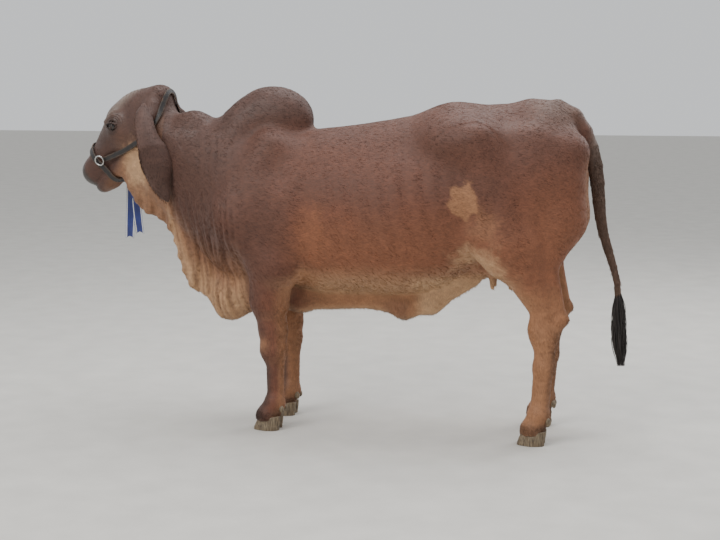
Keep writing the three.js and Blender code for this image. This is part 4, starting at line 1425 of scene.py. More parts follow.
@dataclass(frozen=True)
class HornFinish(Finish):
    """Hoof horn with growth rings, darker streaks and brown stains."""

    pale: tuple[int, int, int] = (138, 122, 98)
    dark: tuple[int, int, int] = (66, 54, 44)

    def make(self) -> bpy.types.Material:
        """See Finish."""
        s = Shader(self.name, 0.5, 0.4)
        rings = s.node("ShaderNodeTexWave", {"bands_direction": "Z"}, Vector=s.place(), Scale=55.0, Distortion=2.5,
                       Detail=3.0).outputs[1]
        streak = s.noise(s.place((1, 1, 0.12)), 260, 3)
        stain = s.noise(s.place(), 45, 4)
        tone = s.mix(s.ramp(streak, 0.35, 0.7), rgba(self.pale), rgba(self.dark))
        tone = s.mix(s.ramp(stain, 0.45, 0.75, 0, 0.6), tone, rgba((104, 84, 62)))
        tone = s.mix(1.0, tone, s.ramp(rings, 0, 1, 0.85, 1.08), "MULTIPLY")
        normal = s.bump(streak, 0.4, 0.0008, s.bump(rings, 0.4, 0.0012))
        return s.finish(tone, normal, s.ramp(stain, 0.3, 0.7, 0.42, 0.68))


@dataclass(frozen=True)
class EyeFinish(Finish):
    """A wet dark eye: oblong pupil, brown iris and dusky corners."""

    def make(self) -> bpy.types.Material:
        """See Finish."""
        s = Shader(self.name, 0.08, 0.6)
        s.skin.inputs["Coat Weight"].default_value = 0.45
        s.skin.inputs["Coat Roughness"].default_value = 0.03
        reach = s.attribute("reach").outputs["Fac"]
        slot = s.attribute("pupil").outputs["Fac"]
        fibre = s.noise(s.place((1, 1, 1)), 900, 3)
        tone = s.mix(s.ramp(fibre, 0.3, 0.7), rgba((44, 27, 18)), rgba((66, 42, 27)))
        tone = s.mix(s.ramp(reach, 0.56, 0.66), tone, rgba((22, 16, 14)))
        tone = s.mix(s.ramp(reach, 0.78, 0.95), tone, rgba((40, 30, 26)))
        tone = s.mix(s.ramp(slot, 0.9, 1.1, 1, 0), tone, rgba((6, 6, 8)))
        return s.finish(tone)


@dataclass(frozen=True)
class LeatherFinish(Finish):
    """Black strap leather, grained, with brown rubbed edges."""

    def make(self) -> bpy.types.Material:
        """See Finish."""
        s = Shader(self.name, 0.5, 0.5)
        grain = s.node("ShaderNodeTexVoronoi", Vector=s.place(), Scale=900.0).outputs[0]
        wear = s.noise(s.place(), 60, 4)
        edge = s.attribute("edge").outputs["Fac"]
        tone = s.mix(s.ramp(wear, 0.4, 0.75, 0, 0.5), rgba((30, 27, 27)), rgba((56, 47, 43)))
        rubbed = s.math("MULTIPLY", edge, s.ramp(wear, 0.35, 0.6))
        tone = s.mix(rubbed, tone, rgba((88, 66, 50)))
        normal = s.bump(wear, 0.2, 0.001, s.bump(grain, 0.35, 0.0005))
        return s.finish(tone, normal, s.ramp(wear, 0.3, 0.7, 0.38, 0.6))


@dataclass(frozen=True)
class MetalFinish(Finish):
    """Polished ring metal with fine scuffs."""

    colour: tuple[int, int, int] = (196, 196, 194)

    def make(self) -> bpy.types.Material:
        """See Finish."""
        s = Shader(self.name, 0.25, 0.5)
        s.skin.inputs["Metallic"].default_value = 1.0
        scuff = s.noise(s.place((1, 1, 6)), 240, 4)
        tarnish = s.noise(s.place(), 50, 3)
        tone = s.mix(s.ramp(tarnish, 0.45, 0.8, 0, 0.5), rgba(self.colour), rgba((120, 110, 96)))
        return s.finish(tone, s.bump(scuff, 0.15, 0.0004), s.ramp(scuff, 0.3, 0.7, 0.16, 0.38))


@dataclass(frozen=True)
class SatinFinish(Finish):
    """Woven satin ribbon, blue with white edges."""

    def make(self) -> bpy.types.Material:
        """See Finish."""
        s = Shader(self.name, 0.38, 0.5)
        s.skin.inputs["Sheen Weight"].default_value = 0.4
        s.skin.inputs["Anisotropic"].default_value = 0.4
        across = s.attribute("across").outputs["Fac"]
        threads = s.node("ShaderNodeTexWave", {"bands_direction": "Z"}, Vector=s.place(), Scale=700.0,
                         Distortion=0.4).outputs[1]
        fade = s.noise(s.place(), 30, 3)
        blue = s.mix(s.ramp(fade, 0.3, 0.7), rgba((22, 34, 96)), rgba((32, 50, 124)))
        border = s.ramp(across, 0.7, 0.74)
        tone = s.mix(border, blue, rgba((216, 216, 210)))
        tone = s.mix(s.ramp(across, 0.9, 0.93), tone, rgba((40, 70, 150)))
        return s.finish(tone, s.bump(threads, 0.25, 0.0003), s.ramp(threads, 0, 1, 0.3, 0.46))


@dataclass(frozen=True)
class FloorFinish(Finish):
    """A pale, faintly mottled studio floor."""

    name: str = "studio_floor"

    def make(self) -> bpy.types.Material:
        """See Finish."""
        s = Shader(self.name, 0.8, 0.2)
        spots = s.noise(s.place(), 6, 5)
        tone = s.mix(s.ramp(spots, 0.3, 0.7), rgba((196, 193, 187)), rgba((205, 202, 196)))
        return s.finish(tone)


# The hide


@dataclass(frozen=True)
class Groove:
    """A soft furrow in the flesh along a line, the same on both sides."""

    a: tuple[float, float, float]
    b: tuple[float, float, float]
    width: float
    depth: float

    def depth_at(self, p: Array) -> Array:
        """Gives how deep the furrow is at each point.

        Args:
            p: points as rows.

        Returns:
            Depths in millimetres.
        """
        q = np.column_stack([p[:, 0], np.abs(p[:, 1]), p[:, 2]])
        a, d = vec(*self.a), vec(*self.b) - vec(*self.a)
        t = np.clip(((q - a) @ d) / (d @ d), 0, 1)
        away = np.linalg.norm(q - a - t[:, None] * d, axis=1)
        return self.depth * np.exp(-((away / self.width) ** 2)) * np.sin(math.pi * np.clip(t, 0.04, 0.96)) ** 0.5


@dataclass
class Hide:
    """One closed skin over head, neck, hump, trunk, legs and tail."""

    cell: float = 7.0
    depth: float = COAT_DEPTH
    sole: float = 40.0
    grooves: tuple[Groove, ...] = (
        Groove((-610, 215, 1120), (-520, 250, 820), 26, 5.0),
        Groove((-330, 235, 1120), (-300, 270, 800), 40, 5.0),
        Groove((-545, 230, 900), (-420, 255, 760), 22, 4.0),
        Groove((700, 205, 1130), (700, 190, 850), 20, 5.0),
        Groove((560, 270, 1050), (620, 240, 760), 30, 4.0),
        Groove((470, 260, 1010), (455, 245, 860), 30, 7.0),
        Groove((700, 175, 690), (722, 165, 560), 12, 5.0),
        Groove((-450, 205, 560), (-452, 160, 430), 12, 3.5),
        Groove((-450, 162, 300), (-450, 158, 170), 7, 3.0),
        Groove((676, 190, 400), (660, 190, 190), 8, 3.0),
        Groove((690, 190, 520), (720, 185, 500), 10, 4.0),
    )

    def __post_init__(self) -> None:
        """Melts the masses together."""
        self.body = Anatomy.full()
        self.body.floor = self.sole
        self.markings = Markings()

    def relief(self, p: Array, n: Array) -> Array:
        """Gives the wrinkles, folds, ribs and veins that the masses don't hold.

        Args:
            p: points of the hide as rows.
            n: its outward directions.

        Returns:
            Heights over the plain surface, mostly below zero.
        """
        x, z = p[:, 0], p[:, 2]
        q = HEAD_FRAME.back(p)
        along, side, up = -q[:, 0], q[:, 1], q[:, 2]
        warp, soft = value_noise(p, 110, 21), value_noise(p, 45, 22)
        flank = np.abs(n[:, 1])
        out = -sum(g.depth_at(p) for g in self.grooves)
        neck = smoothstep(-600, -720, x) * smoothstep(-1120, -1040, x) * (1 - smoothstep(1180, 1300, z)) * (along < 40)
        phase = (x * 0.95 + 0.42 * (z - 1000)) / 52 + 2.2 * warp
        out = out - 1.6 * neck * flank * np.abs(np.sin(math.pi * phase)) ** 3 * (0.4 + soft)
        loose, fold, drift = dewlap_folds(p, n)
        pleat = value_noise(p * vec(1, 1, 0.25), 40, 25)
        out = out - 5.0 * loose * fold * (0.2 + 1.2 * pleat)
        hang = smoothstep(-590, -660, x) * (1 - smoothstep(760, 930, z)) * flank
        out = out - 10.0 * hang * np.abs(np.sin(math.pi * (x / 66 + 1.2 * drift))) ** 4
        armpit = np.exp(-(((x + 290) / 75) ** 2) - ((z - 690) / 90) ** 2)
        phase = (0.8 * (x + 290) + 0.6 * (z - 690)) / 17 + 1.6 * soft
        out = out - 2.6 * armpit * np.abs(np.sin(math.pi * phase)) ** 2
        ribs = smoothstep(-240, -160, x) * (1 - smoothstep(250, 330, x)) * flank
        ribs = ribs * smoothstep(760, 860, z) * (1 - smoothstep(1080, 1200, z))
        out = out + 0.8 * ribs * np.sin(2 * math.pi * (x + 0.22 * (z - 950)) / 78)
        vein_z = 690 + 26 * np.sin(x / 70) + 10 * np.sin(x / 23)
        vein = np.exp(-(((z - vein_z) / 8) ** 2)) * smoothstep(-220, -140, x) * (1 - smoothstep(260, 330, x))
        out = out + 2.0 * vein * flank
        head = (x < HEAD_START) & (along > 20)
        ring = np.hypot(along - EYE_ALONG, (up - EYE_UP) * 1.15)
        lateral = smoothstep(60, 95, np.abs(side))
        for radius, deep in ((37, 1.6), (45, 1.3), (55, 1.0)):
            over = (up - EYE_UP) * UPWARD_SHARE - (along - EYE_ALONG) * SLANT_SHARE
            share = lateral * (0.35 + 0.65 * smoothstep(-10, 30, over))
            out = out - head * deep * share * np.exp(-(((ring - radius) / 2.6) ** 2))
        nose = np.hypot(along - (HEAD_LENGTH - 34), (up - 2) * 1.4)
        for radius in (26, 34, 43):
            out = out - head * 0.9 * np.exp(-(((nose - radius) / 2.4) ** 2)) * smoothstep(20, 40, np.abs(side))
        cheek = np.exp(-(((along - 330) / 90) ** 2) - ((up + 60) / 26) ** 2) * lateral
        out = out + head * 2.0 * cheek
        poll = head * smoothstep(-30, 30, up) * (1 - smoothstep(110, 180, along))
        out = out - 1.2 * poll * np.abs(np.sin(math.pi * (along / 19 + 2 * soft))) ** 2
        fine = value_noise(p, 15, 23) - 0.5
        return out + 1.0 * (soft - 0.5) + 0.5 * fine - 0.3

    def build(self) -> bpy.types.Object:
        """Wraps, refines, wrinkles and colours the hide.

        Returns:
            The hide.
        """
        cell = self.cell
        points, quads = surface_net(self.body, vec(-1495, -340, 20), vec(1025, 345, 1510), cell, -self.depth)
        log.info("hide wrapped: %d points", len(points))
        points = self.body.settle(points, -self.depth, 1)
        points, faces = self.refine(points, quads)
        n = unit(self.body.slope(points))
        points = points + n * self.relief(points, n)[:, None]
        self.points, self.normals = points, n
        made = add_mesh("hide", points, faces, CoatFinish("coat_hair").make())
        colour, wet = self.markings.colour(points, n)
        q = HEAD_FRAME.back(points)
        paint(made, "coat", colour)
        paint(made, "wet", wet)
        paint(made, "upright", 1 - smoothstep(560, 760, points[:, 2]))
        paint(made, "bare", (points[:, 0] < HEAD_START) * smoothstep(500, 530, -q[:, 0] + 0.25 * q[:, 2]))
        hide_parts("head", "neck", "hump", "torso", "dewlap", "tail", "foreleg_left", "foreleg_right",
                    "hindleg_left", "hindleg_right")
        return made

    def refine(self, points: Array, quads: Array) -> tuple[Array, list[list[int]]]:
        """Splits the faces of the head, and those round the eyes and mouth once more.

        Args:
            points: the wrapped points.
            quads: the wrapped faces.

        Returns:
            All points, settled again where faces were split, and all faces.
        """
        mesh = bpy.data.meshes.new("rough_hide")
        mesh.from_pydata(points.tolist(), [], quads.tolist())
        rough = bmesh.new()
        rough.from_mesh(mesh)
        eyes = [head_point(EYE_ALONG, s * 108, EYE_UP) for s in (-1, 1)]
        muzzle = head_point(HEAD_LENGTH - 45, 0, -40)
        for step in range(2):
            co = np.array([v.co for v in rough.verts])
            along = -HEAD_FRAME.back(co)[:, 0]
            near = (co[:, 0] < -960) & (along > 10)
            if step:
                close = np.linalg.norm(co - muzzle, axis=1) < 105
                for eye in eyes:
                    close |= np.linalg.norm(co - eye, axis=1) < 62
                near &= close
            rough.verts.ensure_lookup_table()
            edges = [e for e in rough.edges if near[e.verts[0].index] and near[e.verts[1].index]]
            bmesh.ops.subdivide_edges(rough, edges=edges, cuts=1, use_grid_fill=True)
            rough.verts.index_update()
        co = np.array([v.co for v in rough.verts])
        faces = [[v.index for v in f.verts] for f in rough.faces]
        rough.free()
        bpy.data.meshes.remove(mesh)
        head = np.nonzero((co[:, 0] < -950) & (-HEAD_FRAME.back(co)[:, 0] > -10))[0]
        co[head] = self.body.settle(co[head], -self.depth, 3, 2.5)
        return co, faces


# The coat's tufts


class Atlas:
    """The hide laid out flat, each part of the body by the way it faces."""

    def __init__(self, p: Array, n: Array) -> None:
        """Lays the charts side by side in the unit square.

        Args:
            p: the hide's points.
            n: its outward directions.
        """
        charts = self.chart(p, n)
        flat = self.flat(p, charts)
        self.low: dict[int, Array] = {}
        sizes: dict[int, Array] = {}
        for c in np.unique(charts):
            own = flat[charts == c]
            self.low[c] = own.min(0) - 12
            sizes[c] = own.max(0) - own.min(0) + 24
        self.scale = 1 / 1500
        while not self.fit(sizes):
            self.scale *= 0.96

    def fit(self, sizes: dict[int, Array]) -> bool:
        """Tries to place every chart on shelves at the present scale.

        Args:
            sizes: width and height of each chart in millimetres.

        Returns:
            Whether all of them fit.
        """
        self.corner: dict[int, Array] = {}
        x = y = shelf = 0.0
        for c in sorted(sizes, key=lambda k: -sizes[k][1]):
            w, h = sizes[c] * self.scale
            if x + w > 1:
                x, y, shelf = 0.0, y + shelf, 0.0
            if w > 1 or y + h > 1:
                return False
            self.corner[c] = vec(x, y)
            x, shelf = x + w, max(shelf, h)
        return True

    @staticmethod
    def chart(p: Array, n: Array) -> Array:
        """Numbers the chart of each point.

        Args:
            p: points as rows.
            n: outward directions.

        Returns:
            Chart numbers.
        """
        x, y, z = p.T
        part = np.zeros(len(p), int)
        part[x < NECK_START] = 1
        part[(x < -980) & (-HEAD_FRAME.back(p)[:, 0] > 0)] = 2
        part[(x > NECK_START) & (x < -300) & (z < 620)] = 3
        part[(x > 480) & (z < 700)] = 5
        part[((part == 3) | (part == 5)) & (y > 0)] += 1
        part[tailward(p) > 830] = 7
        axis = np.abs(n).argmax(1)
        return part * 6 + axis * 2 + (n[np.arange(len(n)), axis] > 0)

    @staticmethod
    def flat(p: Array, charts: Array) -> Array:
        """Drops the axis that each chart faces.

        Args:
            p: points as rows.
            charts: their chart numbers.

        Returns:
            Rows of two numbers.
        """
        axis = (charts % 6) // 2
        out = np.where((axis == 0)[:, None], p[:, [1, 2]], p[:, [0, 2]])
        return np.where((axis == 2)[:, None], p[:, [0, 1]], out)

    def uv(self, p: Array, n: Array) -> Array:
        """Gives the place of points on the layout.

        Args:
            p: points as rows.
            n: outward directions.

        Returns:
            Rows of two numbers from 0 to 1.
        """
        charts = self.chart(p, n)
        known = np.array(sorted(self.corner))
        charts = known[np.clip(np.searchsorted(known, charts), 0, len(known) - 1)]
        low = np.array([self.low[c] for c in charts])
        corner = np.array([self.corner[c] for c in charts])
        return np.clip(corner + (self.flat(p, charts) - low) * self.scale, 0, 1)


@dataclass(frozen=True)
class TuftKind:
    """One kind of tuft: its number, size and where it grows."""

    name: str
    count: int
    length: float
    width: float
    lift: float
    droop: float
    seed: int
    where: Callable[[Array, Array], Array]
    slot: str = "coat_body"


def spikes(name: str, root: Array, out: Array, run: Array, length: Array, width: Array, lift: Array, droop: float,
           colour: Array, uv: Array, material: bpy.types.Material,
           wet: Optional[Array] = None) -> bpy.types.Object:
    """Makes many bent tapered tufts as one mesh, each a closed solid.

    Args:
        name: the piece's name.
        root: where each tuft is rooted.
        out: the outward direction there.
        run: the direction it lies in.
        length: its length.
        width: its width at the root.
        lift: how far its tip stands off.
        droop: how far its tip hangs, as a share of its length.
        colour: its linear colour.
        uv: its place on the layout.
        material: the finish.
        wet: how glossy it is.

    Returns:
        The piece.
    """
    count = len(root)
    s = np.cross(run, out)
    w, h = width[:, None], (0.3 * width)[:, None]
    down = vec(0, 0, -1) * (droop * length)[:, None]
    mid = root + run * (0.5 * length)[:, None] + out * (0.62 * lift)[:, None] + 0.3 * down
    tip = root + run * length[:, None] + out * lift[:, None] + down
    rows = [root - s * w / 2 - out * 0.9, root + s * w / 2 - out * 0.9, root + out * h * 0.5,
            mid - s * w * 0.4, mid + s * w * 0.4, mid + out * h, tip]
    points = np.stack(rows, 1).reshape(-1, 3)
    one = [[0, 1, 2], [0, 3, 4, 1], [1, 4, 5, 2], [2, 5, 3, 0], [3, 6, 4], [4, 6, 5], [5, 6, 3]]
    faces = [[i * 7 + k for k in f] for i in range(count) for f in one]
    made = add_mesh(name, points, faces, material)
    # Each tuft is painted a little darker at its root as painted shade and a little lighter at its tip as a painted
    # highlight.
    root_shade_tip_light = np.array([0.97, 0.97, 1.0, 1.0, 1.0, 1.02, 1.04])
    paint(made, "coat", (colour[:, None, :] * root_shade_tip_light[None, :, None]).reshape(-1, 3))
    paint(made, "wet", np.repeat(np.zeros(count) if wet is None else wet, 7))
    spread = np.array([[-1, -1], [1, -1], [0, -1], [-1, 0], [1, 0], [0, 0.2], [0, 1]]) * 0.0015
    flat = (np.clip(uv, 0.002, 0.998)[:, None, :] + spread[None]).reshape(-1, 2)
    lay_out(made, flat)
    return made


@dataclass
class Coat:
    """Tufts over the hide, thin and lying flat, longer where they break its outline."""

    hide: Hide
    skin: bpy.types.Object
    most: int = 19000
    kinds: tuple[TuftKind, ...] = (
        TuftKind("coat_trunk", 57000, 15, 1.2, 0.2, 0.0, 41, lambda p, n: 1.0 * (p[:, 0] > NECK_START)),
        TuftKind("coat_front", 36000, 12, 1.1, 0.2, 0.0, 42, lambda p, n: 1.0 * (p[:, 0] <= NECK_START), "coat_neck"),
        TuftKind("coat_fringe", 6000, 14, 1.8, 2.2, 0.15, 43, lambda p, n: smoothstep(0.5, 0.95, -n[:, 2])
                 * (p[:, 2] > 380) * (p[:, 0] > -900), "coat_dewlap"),
        TuftKind("coat_legs", 6500, 13, 1.6, 1.6, 0.1, 44, lambda p, n: (p[:, 2] < 560)
                 * smoothstep(0.2, 0.8, n[:, 0]) + 3.0 * (p[:, 2] < 86) * (p[:, 2] > 54), "coat_hind"),
        TuftKind("coat_tail", 4500, 20, 2.0, 1.6, 0.1, 45,
                 lambda p, n: smoothstep(835, 890, tailward(p)) * (np.abs(p[:, 1]) < 46), "tail_skin"),
    )

    def roots(self, kind: TuftKind) -> tuple[Array, Array]:
        """Spreads roots over the hide by area and by the kind's own density.

        Args:
            kind: the kind of tuft.

        Returns:
            Roots and outward directions as rows.
        """
        mesh = self.skin.data
        mesh.calc_loop_triangles()
        tri = np.zeros(len(mesh.loop_triangles) * 3, np.int32)
        mesh.loop_triangles.foreach_get("vertices", tri)
        a, b, c = (self.hide.points[tri.reshape(-1, 3)[:, k]] for k in range(3))
        na, nb, nc = (self.hide.normals[tri.reshape(-1, 3)[:, k]] for k in range(3))
        area = np.linalg.norm(np.cross(b - a, c - a), axis=1) / 2
        middle, facing = (a + b + c) / 3, unit(na + nb + nc)
        bare = (middle[:, 0] < HEAD_START) & (-HEAD_FRAME.back(middle)[:, 0] > HEAD_LENGTH - 62)
        eye = np.zeros(len(middle), bool)
        for s in (-1, 1):
            eye |= np.linalg.norm(middle - head_point(EYE_ALONG, s * 112, EYE_UP), axis=1) < 31
        weight = area * kind.where(middle, facing) * (middle[:, 2] > 56) * ~bare * ~eye
        dice = np.random.default_rng(kind.seed)
        count = kind.count
        total = np.cumsum(weight)
        pick = np.minimum(np.searchsorted(total, dice.random(count) * total[-1]), len(total) - 1)
        u, v = dice.random(count), dice.random(count)
        over = u + v > 1
        u[over], v[over] = 1 - u[over], 1 - v[over]
        w = (1 - u - v)[:, None]
        u, v = u[:, None], v[:, None]
        return a[pick] * w + b[pick] * u + c[pick] * v, unit(na[pick] * w + nb[pick] * u + nc[pick] * v)

    def build(self) -> list[bpy.types.Object]:
        """Grows every kind of tuft.

        Returns:
            The pieces.
        """
        atlas = Atlas(self.hide.points, self.hide.normals)
        finish = TuftFinish("coat_tufts").make()
        made = []
        for kind in self.kinds:
            root, out = self.roots(kind)
            dice = np.random.default_rng(kind.seed + 100)
            colour, wet = self.hide.markings.colour(root, out)
            run = Markings.lie(root, out)
            twist = 0.22 * dice.standard_normal(len(root))[:, None]
            run = unit(run * np.cos(twist) + np.cross(out, run) * np.sin(twist))
            head = (root[:, 0] < HEAD_START) & (-HEAD_FRAME.back(root)[:, 0] > 0)
            small = np.where(head, 0.5, 1.0) * (1 - 0.35 * (1 - smoothstep(120, 420, root[:, 2])))
            size = small * (0.7 + 0.6 * dice.random(len(root)))
            tint = 0.95 + 0.1 * dice.random(len(root))[:, None]
            for i, part in enumerate(np.array_split(np.arange(len(root)), math.ceil(len(root) / self.most))):
                name = f"{kind.name}_{i + 1}"
                made.append(spikes(name, root[part], out[part], run[part], kind.length * size[part],
                                   kind.width * (0.5 + 0.5 * size[part]), kind.lift * size[part], kind.droop,
                                   (colour * tint)[part], atlas.uv(root[part], out[part]), finish,
                                   wet[part]))
                log.info("%s: %d tufts", name, len(part))
        return made


# Eyes, ears, hooves and switch


@dataclass
class Eye:
    """One eyeball with its bulging cornea, and the lashes over it."""

    side: Side
    radius: float = EYE_RADIUS
    lashes: int = 34

    def build(self) -> list[bpy.types.Object]:
        """Makes the eyeball and the lashes.

        Returns:
            The pieces.
        """
        s = self.side.value
        centre = head_point(EYE_ALONG, s * 101, EYE_UP)
        gaze = unit(HEAD_FRAME.turn @ vec(-0.16, s * 1.0, 0.05))
        level = HEAD_FRAME.turn @ vec(-0.72, 0, 0.69)
        level = unit(level - (level @ gaze) * gaze)
        rise = np.cross(gaze, level)
        rings, sides = 30, 48
        points, reach, pupil = [centre + gaze * (self.radius + 1.7)], [0.0], [0.0]
        for i in range(1, rings):
            a = math.pi * i / rings
            r = self.radius + 1.7 * math.exp(-((a / 0.62) ** 4))
            for j in range(sides):
                b = 2 * math.pi * j / sides
                u, v = math.sin(a) * math.cos(b), math.sin(a) * math.sin(b)
                points.append(centre + r * (gaze * math.cos(a) + level * u + rise * v))
                reach.append(math.hypot(u, v) if a < math.pi / 2 else 1.0)
                pupil.append(math.hypot(u / 0.34, v / 0.17) if a < math.pi / 2 else 9.0)
        points.append(centre - gaze * self.radius)
        reach.append(1.0)
        pupil.append(9.0)
        faces = [[0, 1 + j, 1 + (j + 1) % sides] for j in range(sides)]
        for i in range(rings - 2):
            for j in range(sides):
                k = (j + 1) % sides
                a, b = 1 + i * sides, 1 + (i + 1) * sides
                faces.append([a + j, b + j, b + k, a + k])
        last = 1 + (rings - 2) * sides
        faces += [[last + (j + 1) % sides, last + j, len(points) - 1] for j in range(sides)]
        ball = add_mesh(f"eye_{self.side.word}_ball", np.array(points), faces,
                        EyeFinish(f"wet_eye_{self.side.word}").make())
        paint(ball, "reach", np.array(reach))
        paint(ball, "pupil", np.array(pupil))
        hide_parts(f"eye_{self.side.word}")
        return [ball, self.lash_row()]

    def lash_row(self) -> bpy.types.Object:
        """Makes the lashes along the upper lid.

        Returns:
            The piece.
        """
        s = self.side.value
        dice = np.random.default_rng(7 + s)
        root, out, run = [], [], []
        for i in range(self.lashes):
            a = math.pi * (0.12 + 0.76 * (i + 0.5 * dice.random()) / self.lashes)
            along, up = 26 * math.cos(a), 13 * math.sin(a)
            root.append(by_eye(along, up, s * (109 + 13 * math.sin(a))))
            run.append(vec(-(0.25 * math.cos(a) + 0.35), s * 1.0, -0.35 + 0.3 * dice.random()))
            out.append(vec(0.3, s * 0.35, 0.9))
        root = HEAD_FRAME.out(np.array(root))
        run = unit(np.array(run) @ HEAD_FRAME.turn.T)
        out = np.array(out) @ HEAD_FRAME.turn.T
        out = unit(out - (out * run).sum(1, keepdims=True) * run)
        size = 15 + 6 * dice.random(self.lashes)
        colour = np.tile(Tone.BLACK.linear, (self.lashes, 1))
        uv = np.column_stack([np.linspace(0.1, 0.9, self.lashes), np.full(self.lashes, 0.5)])
        return spikes(f"lashes_{self.side.word}", root, out, run, size, np.full(self.lashes, 1.1),
                      np.full(self.lashes, -4.0), 0.1, colour, uv,
                      TuftFinish(f"lash_hair_{self.side.word}", 0.4).make())


@dataclass
class Ear:
    """One long hanging ear, rolled at its root and open like a leaf below."""

    side: Side
    width: float = 156.0
    thickness: float = 7.0
    steps: int = 44
    arcs: int = 22

    def frames(self) -> list[tuple[Array, Array, Array, float, float, float]]:
        """Gives centre, face, across, curl, radius and half thickness along the ear.

        Returns:
            One set for each step.
        """
        s = self.side.value
        way = [(48, 70, -70), (66, 116, -116), (100, 146, -196), (150, 150, -296), (205, 140, -370), (236, 128, -444)]
        line = catmull([head_point(a, s * b, u) for a, b, u in way], self.steps + 1)
        forward, outward = HEAD_FRAME.turn @ vec(-1, 0, 0), HEAD_FRAME.turn @ vec(0, s, 0)
        tangent = unit(np.gradient(line, axis=0))
        out = []
        for i in range(self.steps + 1):
            t = i / self.steps
            face = forward * (1 - 0.6 * t) + outward * (0.9 - 2.3 * t)
            face = unit(face - (face @ tangent[i]) * tangent[i])
            across = unit(np.cross(tangent[i], face))
            curl = math.radians(280 + (105 - 280) * min(1, 2.2 * t))
            width = self.width * (0.62 + 0.38 * math.sin(math.pi * min(1, 0.1 + t))) * (1 - t**4) ** 0.7 + 10
            if t > 0.93:
                width *= math.sqrt(max(0.05, 1 - ((t - 0.93) / 0.075) ** 2))
            out.append((line[i], face, across, curl, width * 1.1 / curl, self.thickness * (1 - 0.45 * t) / 2))
        return out

    def build(self) -> list[bpy.types.Object]:
        """Makes the ear and the hair along its edges.

        Returns:
            The pieces.
        """
        points, inner, edge = [], [], []
        rims: list[list[tuple[Array, Array, Array]]] = [[], []]
        frames = self.frames()
        for i, (centre, face, across, curl, radius, half) in enumerate(frames):
            t = i / self.steps
            ripple = 1.6 * math.sin(9 * t) * smoothstep(0.1, 0.4, t)
            for face_side in (1, -1):
                order = range(self.arcs + 1) if face_side > 0 else range(self.arcs, -1, -1)
                for a in order:
                    part = 2 * a / self.arcs - 1
                    angle = part * curl / 2
                    h = half * (1 - 0.6 * part**6)
                    rib = 0.7 * math.cos(5 * math.pi * part) * (face_side < 0) * (1 - t)
                    r = radius + face_side * h + ripple * part**4 + rib
                    points.append(centre + face * (radius * 0.6 - r * math.cos(angle)) + across * (r * math.sin(angle)))
                    inner.append(1.0 if face_side < 0 else 0.0)
                    edge.append(abs(part))
                    if face_side > 0 and a in (0, self.arcs) and 0.06 < t < 0.98:
                        away = across * (1 if a else -1) * math.cos(angle) + face * abs(math.sin(angle))
                        nxt = frames[min(i + 1, self.steps)][0] - frames[max(i - 1, 0)][0]
                        rims[0 if a else 1].append((points[-1], unit(away), unit(nxt)))
        ring = 2 * (self.arcs + 1)
        points = np.array(points)
        faces = loft_faces(self.steps + 1, ring)
        made = add_mesh(f"ear_{self.side.word}_skin", points, faces,
                        CoatFinish(f"ear_coat_{self.side.word}", 0.8).make())
        fix_outward(made)
        share = np.array(inner)[:, None] * (1 - 0.6 * np.array(edge)[:, None] ** 4)
        colour = Tone.UMBER.linear * (1 - share) + linear((150, 112, 92)) * share
        colour = colour * (0.8 + 0.4 * value_noise(points, 22, 31))[:, None]
        # Painted shade: the inner face darkens towards the middle of the ear's hollow, to half at most.
        depth = 1 - 0.5 * np.array(inner) * (1 - np.array(edge))
        paint(made, "coat", colour * depth[:, None])
        paint(made, "wet", np.zeros(len(points)))
        paint(made, "upright", np.ones(len(points)))
        paint(made, "bare", np.zeros(len(points)))
        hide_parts(f"ear_{self.side.word}")
        return [made, self.rim_hair(rims), self.outer_hair(points)]

    def rim_hair(self, rims: list[list[tuple[Array, Array, Array]]]) -> bpy.types.Object:
        """Makes soft hair along both edges.

        Args:
            rims: point, outward and downward direction along each edge.

        Returns:
            The piece.
        """
        dice = np.random.default_rng(61 + self.side.value)
        root, out, run, uv = [], [], [], []
        for k, rim in enumerate(rims):
            for i, (p, away, down) in enumerate(rim):
                for _ in range(9):
                    root.append(p + down * dice.uniform(-5, 5) - away * dice.uniform(0, 3))
                    way = unit(down * dice.uniform(0.7, 1.0) + away * dice.uniform(-0.15, 0.35))
                    side = unit(away - (away @ way) * way)
                    run.append(way)
                    out.append(side)
                    uv.append((0.1 + 0.8 * i / len(rim), 0.3 + 0.4 * k + dice.uniform(-0.05, 0.05)))
        count = len(root)
        colour = (Tone.UMBER.linear * 0.9 + Tone.TAN.linear * 0.1) * dice.uniform(0.7, 1.2, (count, 1))
        return spikes(f"ear_{self.side.word}_fringe", np.array(root), np.array(out), np.array(run),
                      dice.uniform(9, 18, count), np.full(count, 1.8), dice.uniform(0.5, 2.5, count), 0.0, colour,
                      np.array(uv), TuftFinish(f"ear_hair_{self.side.word}").make())

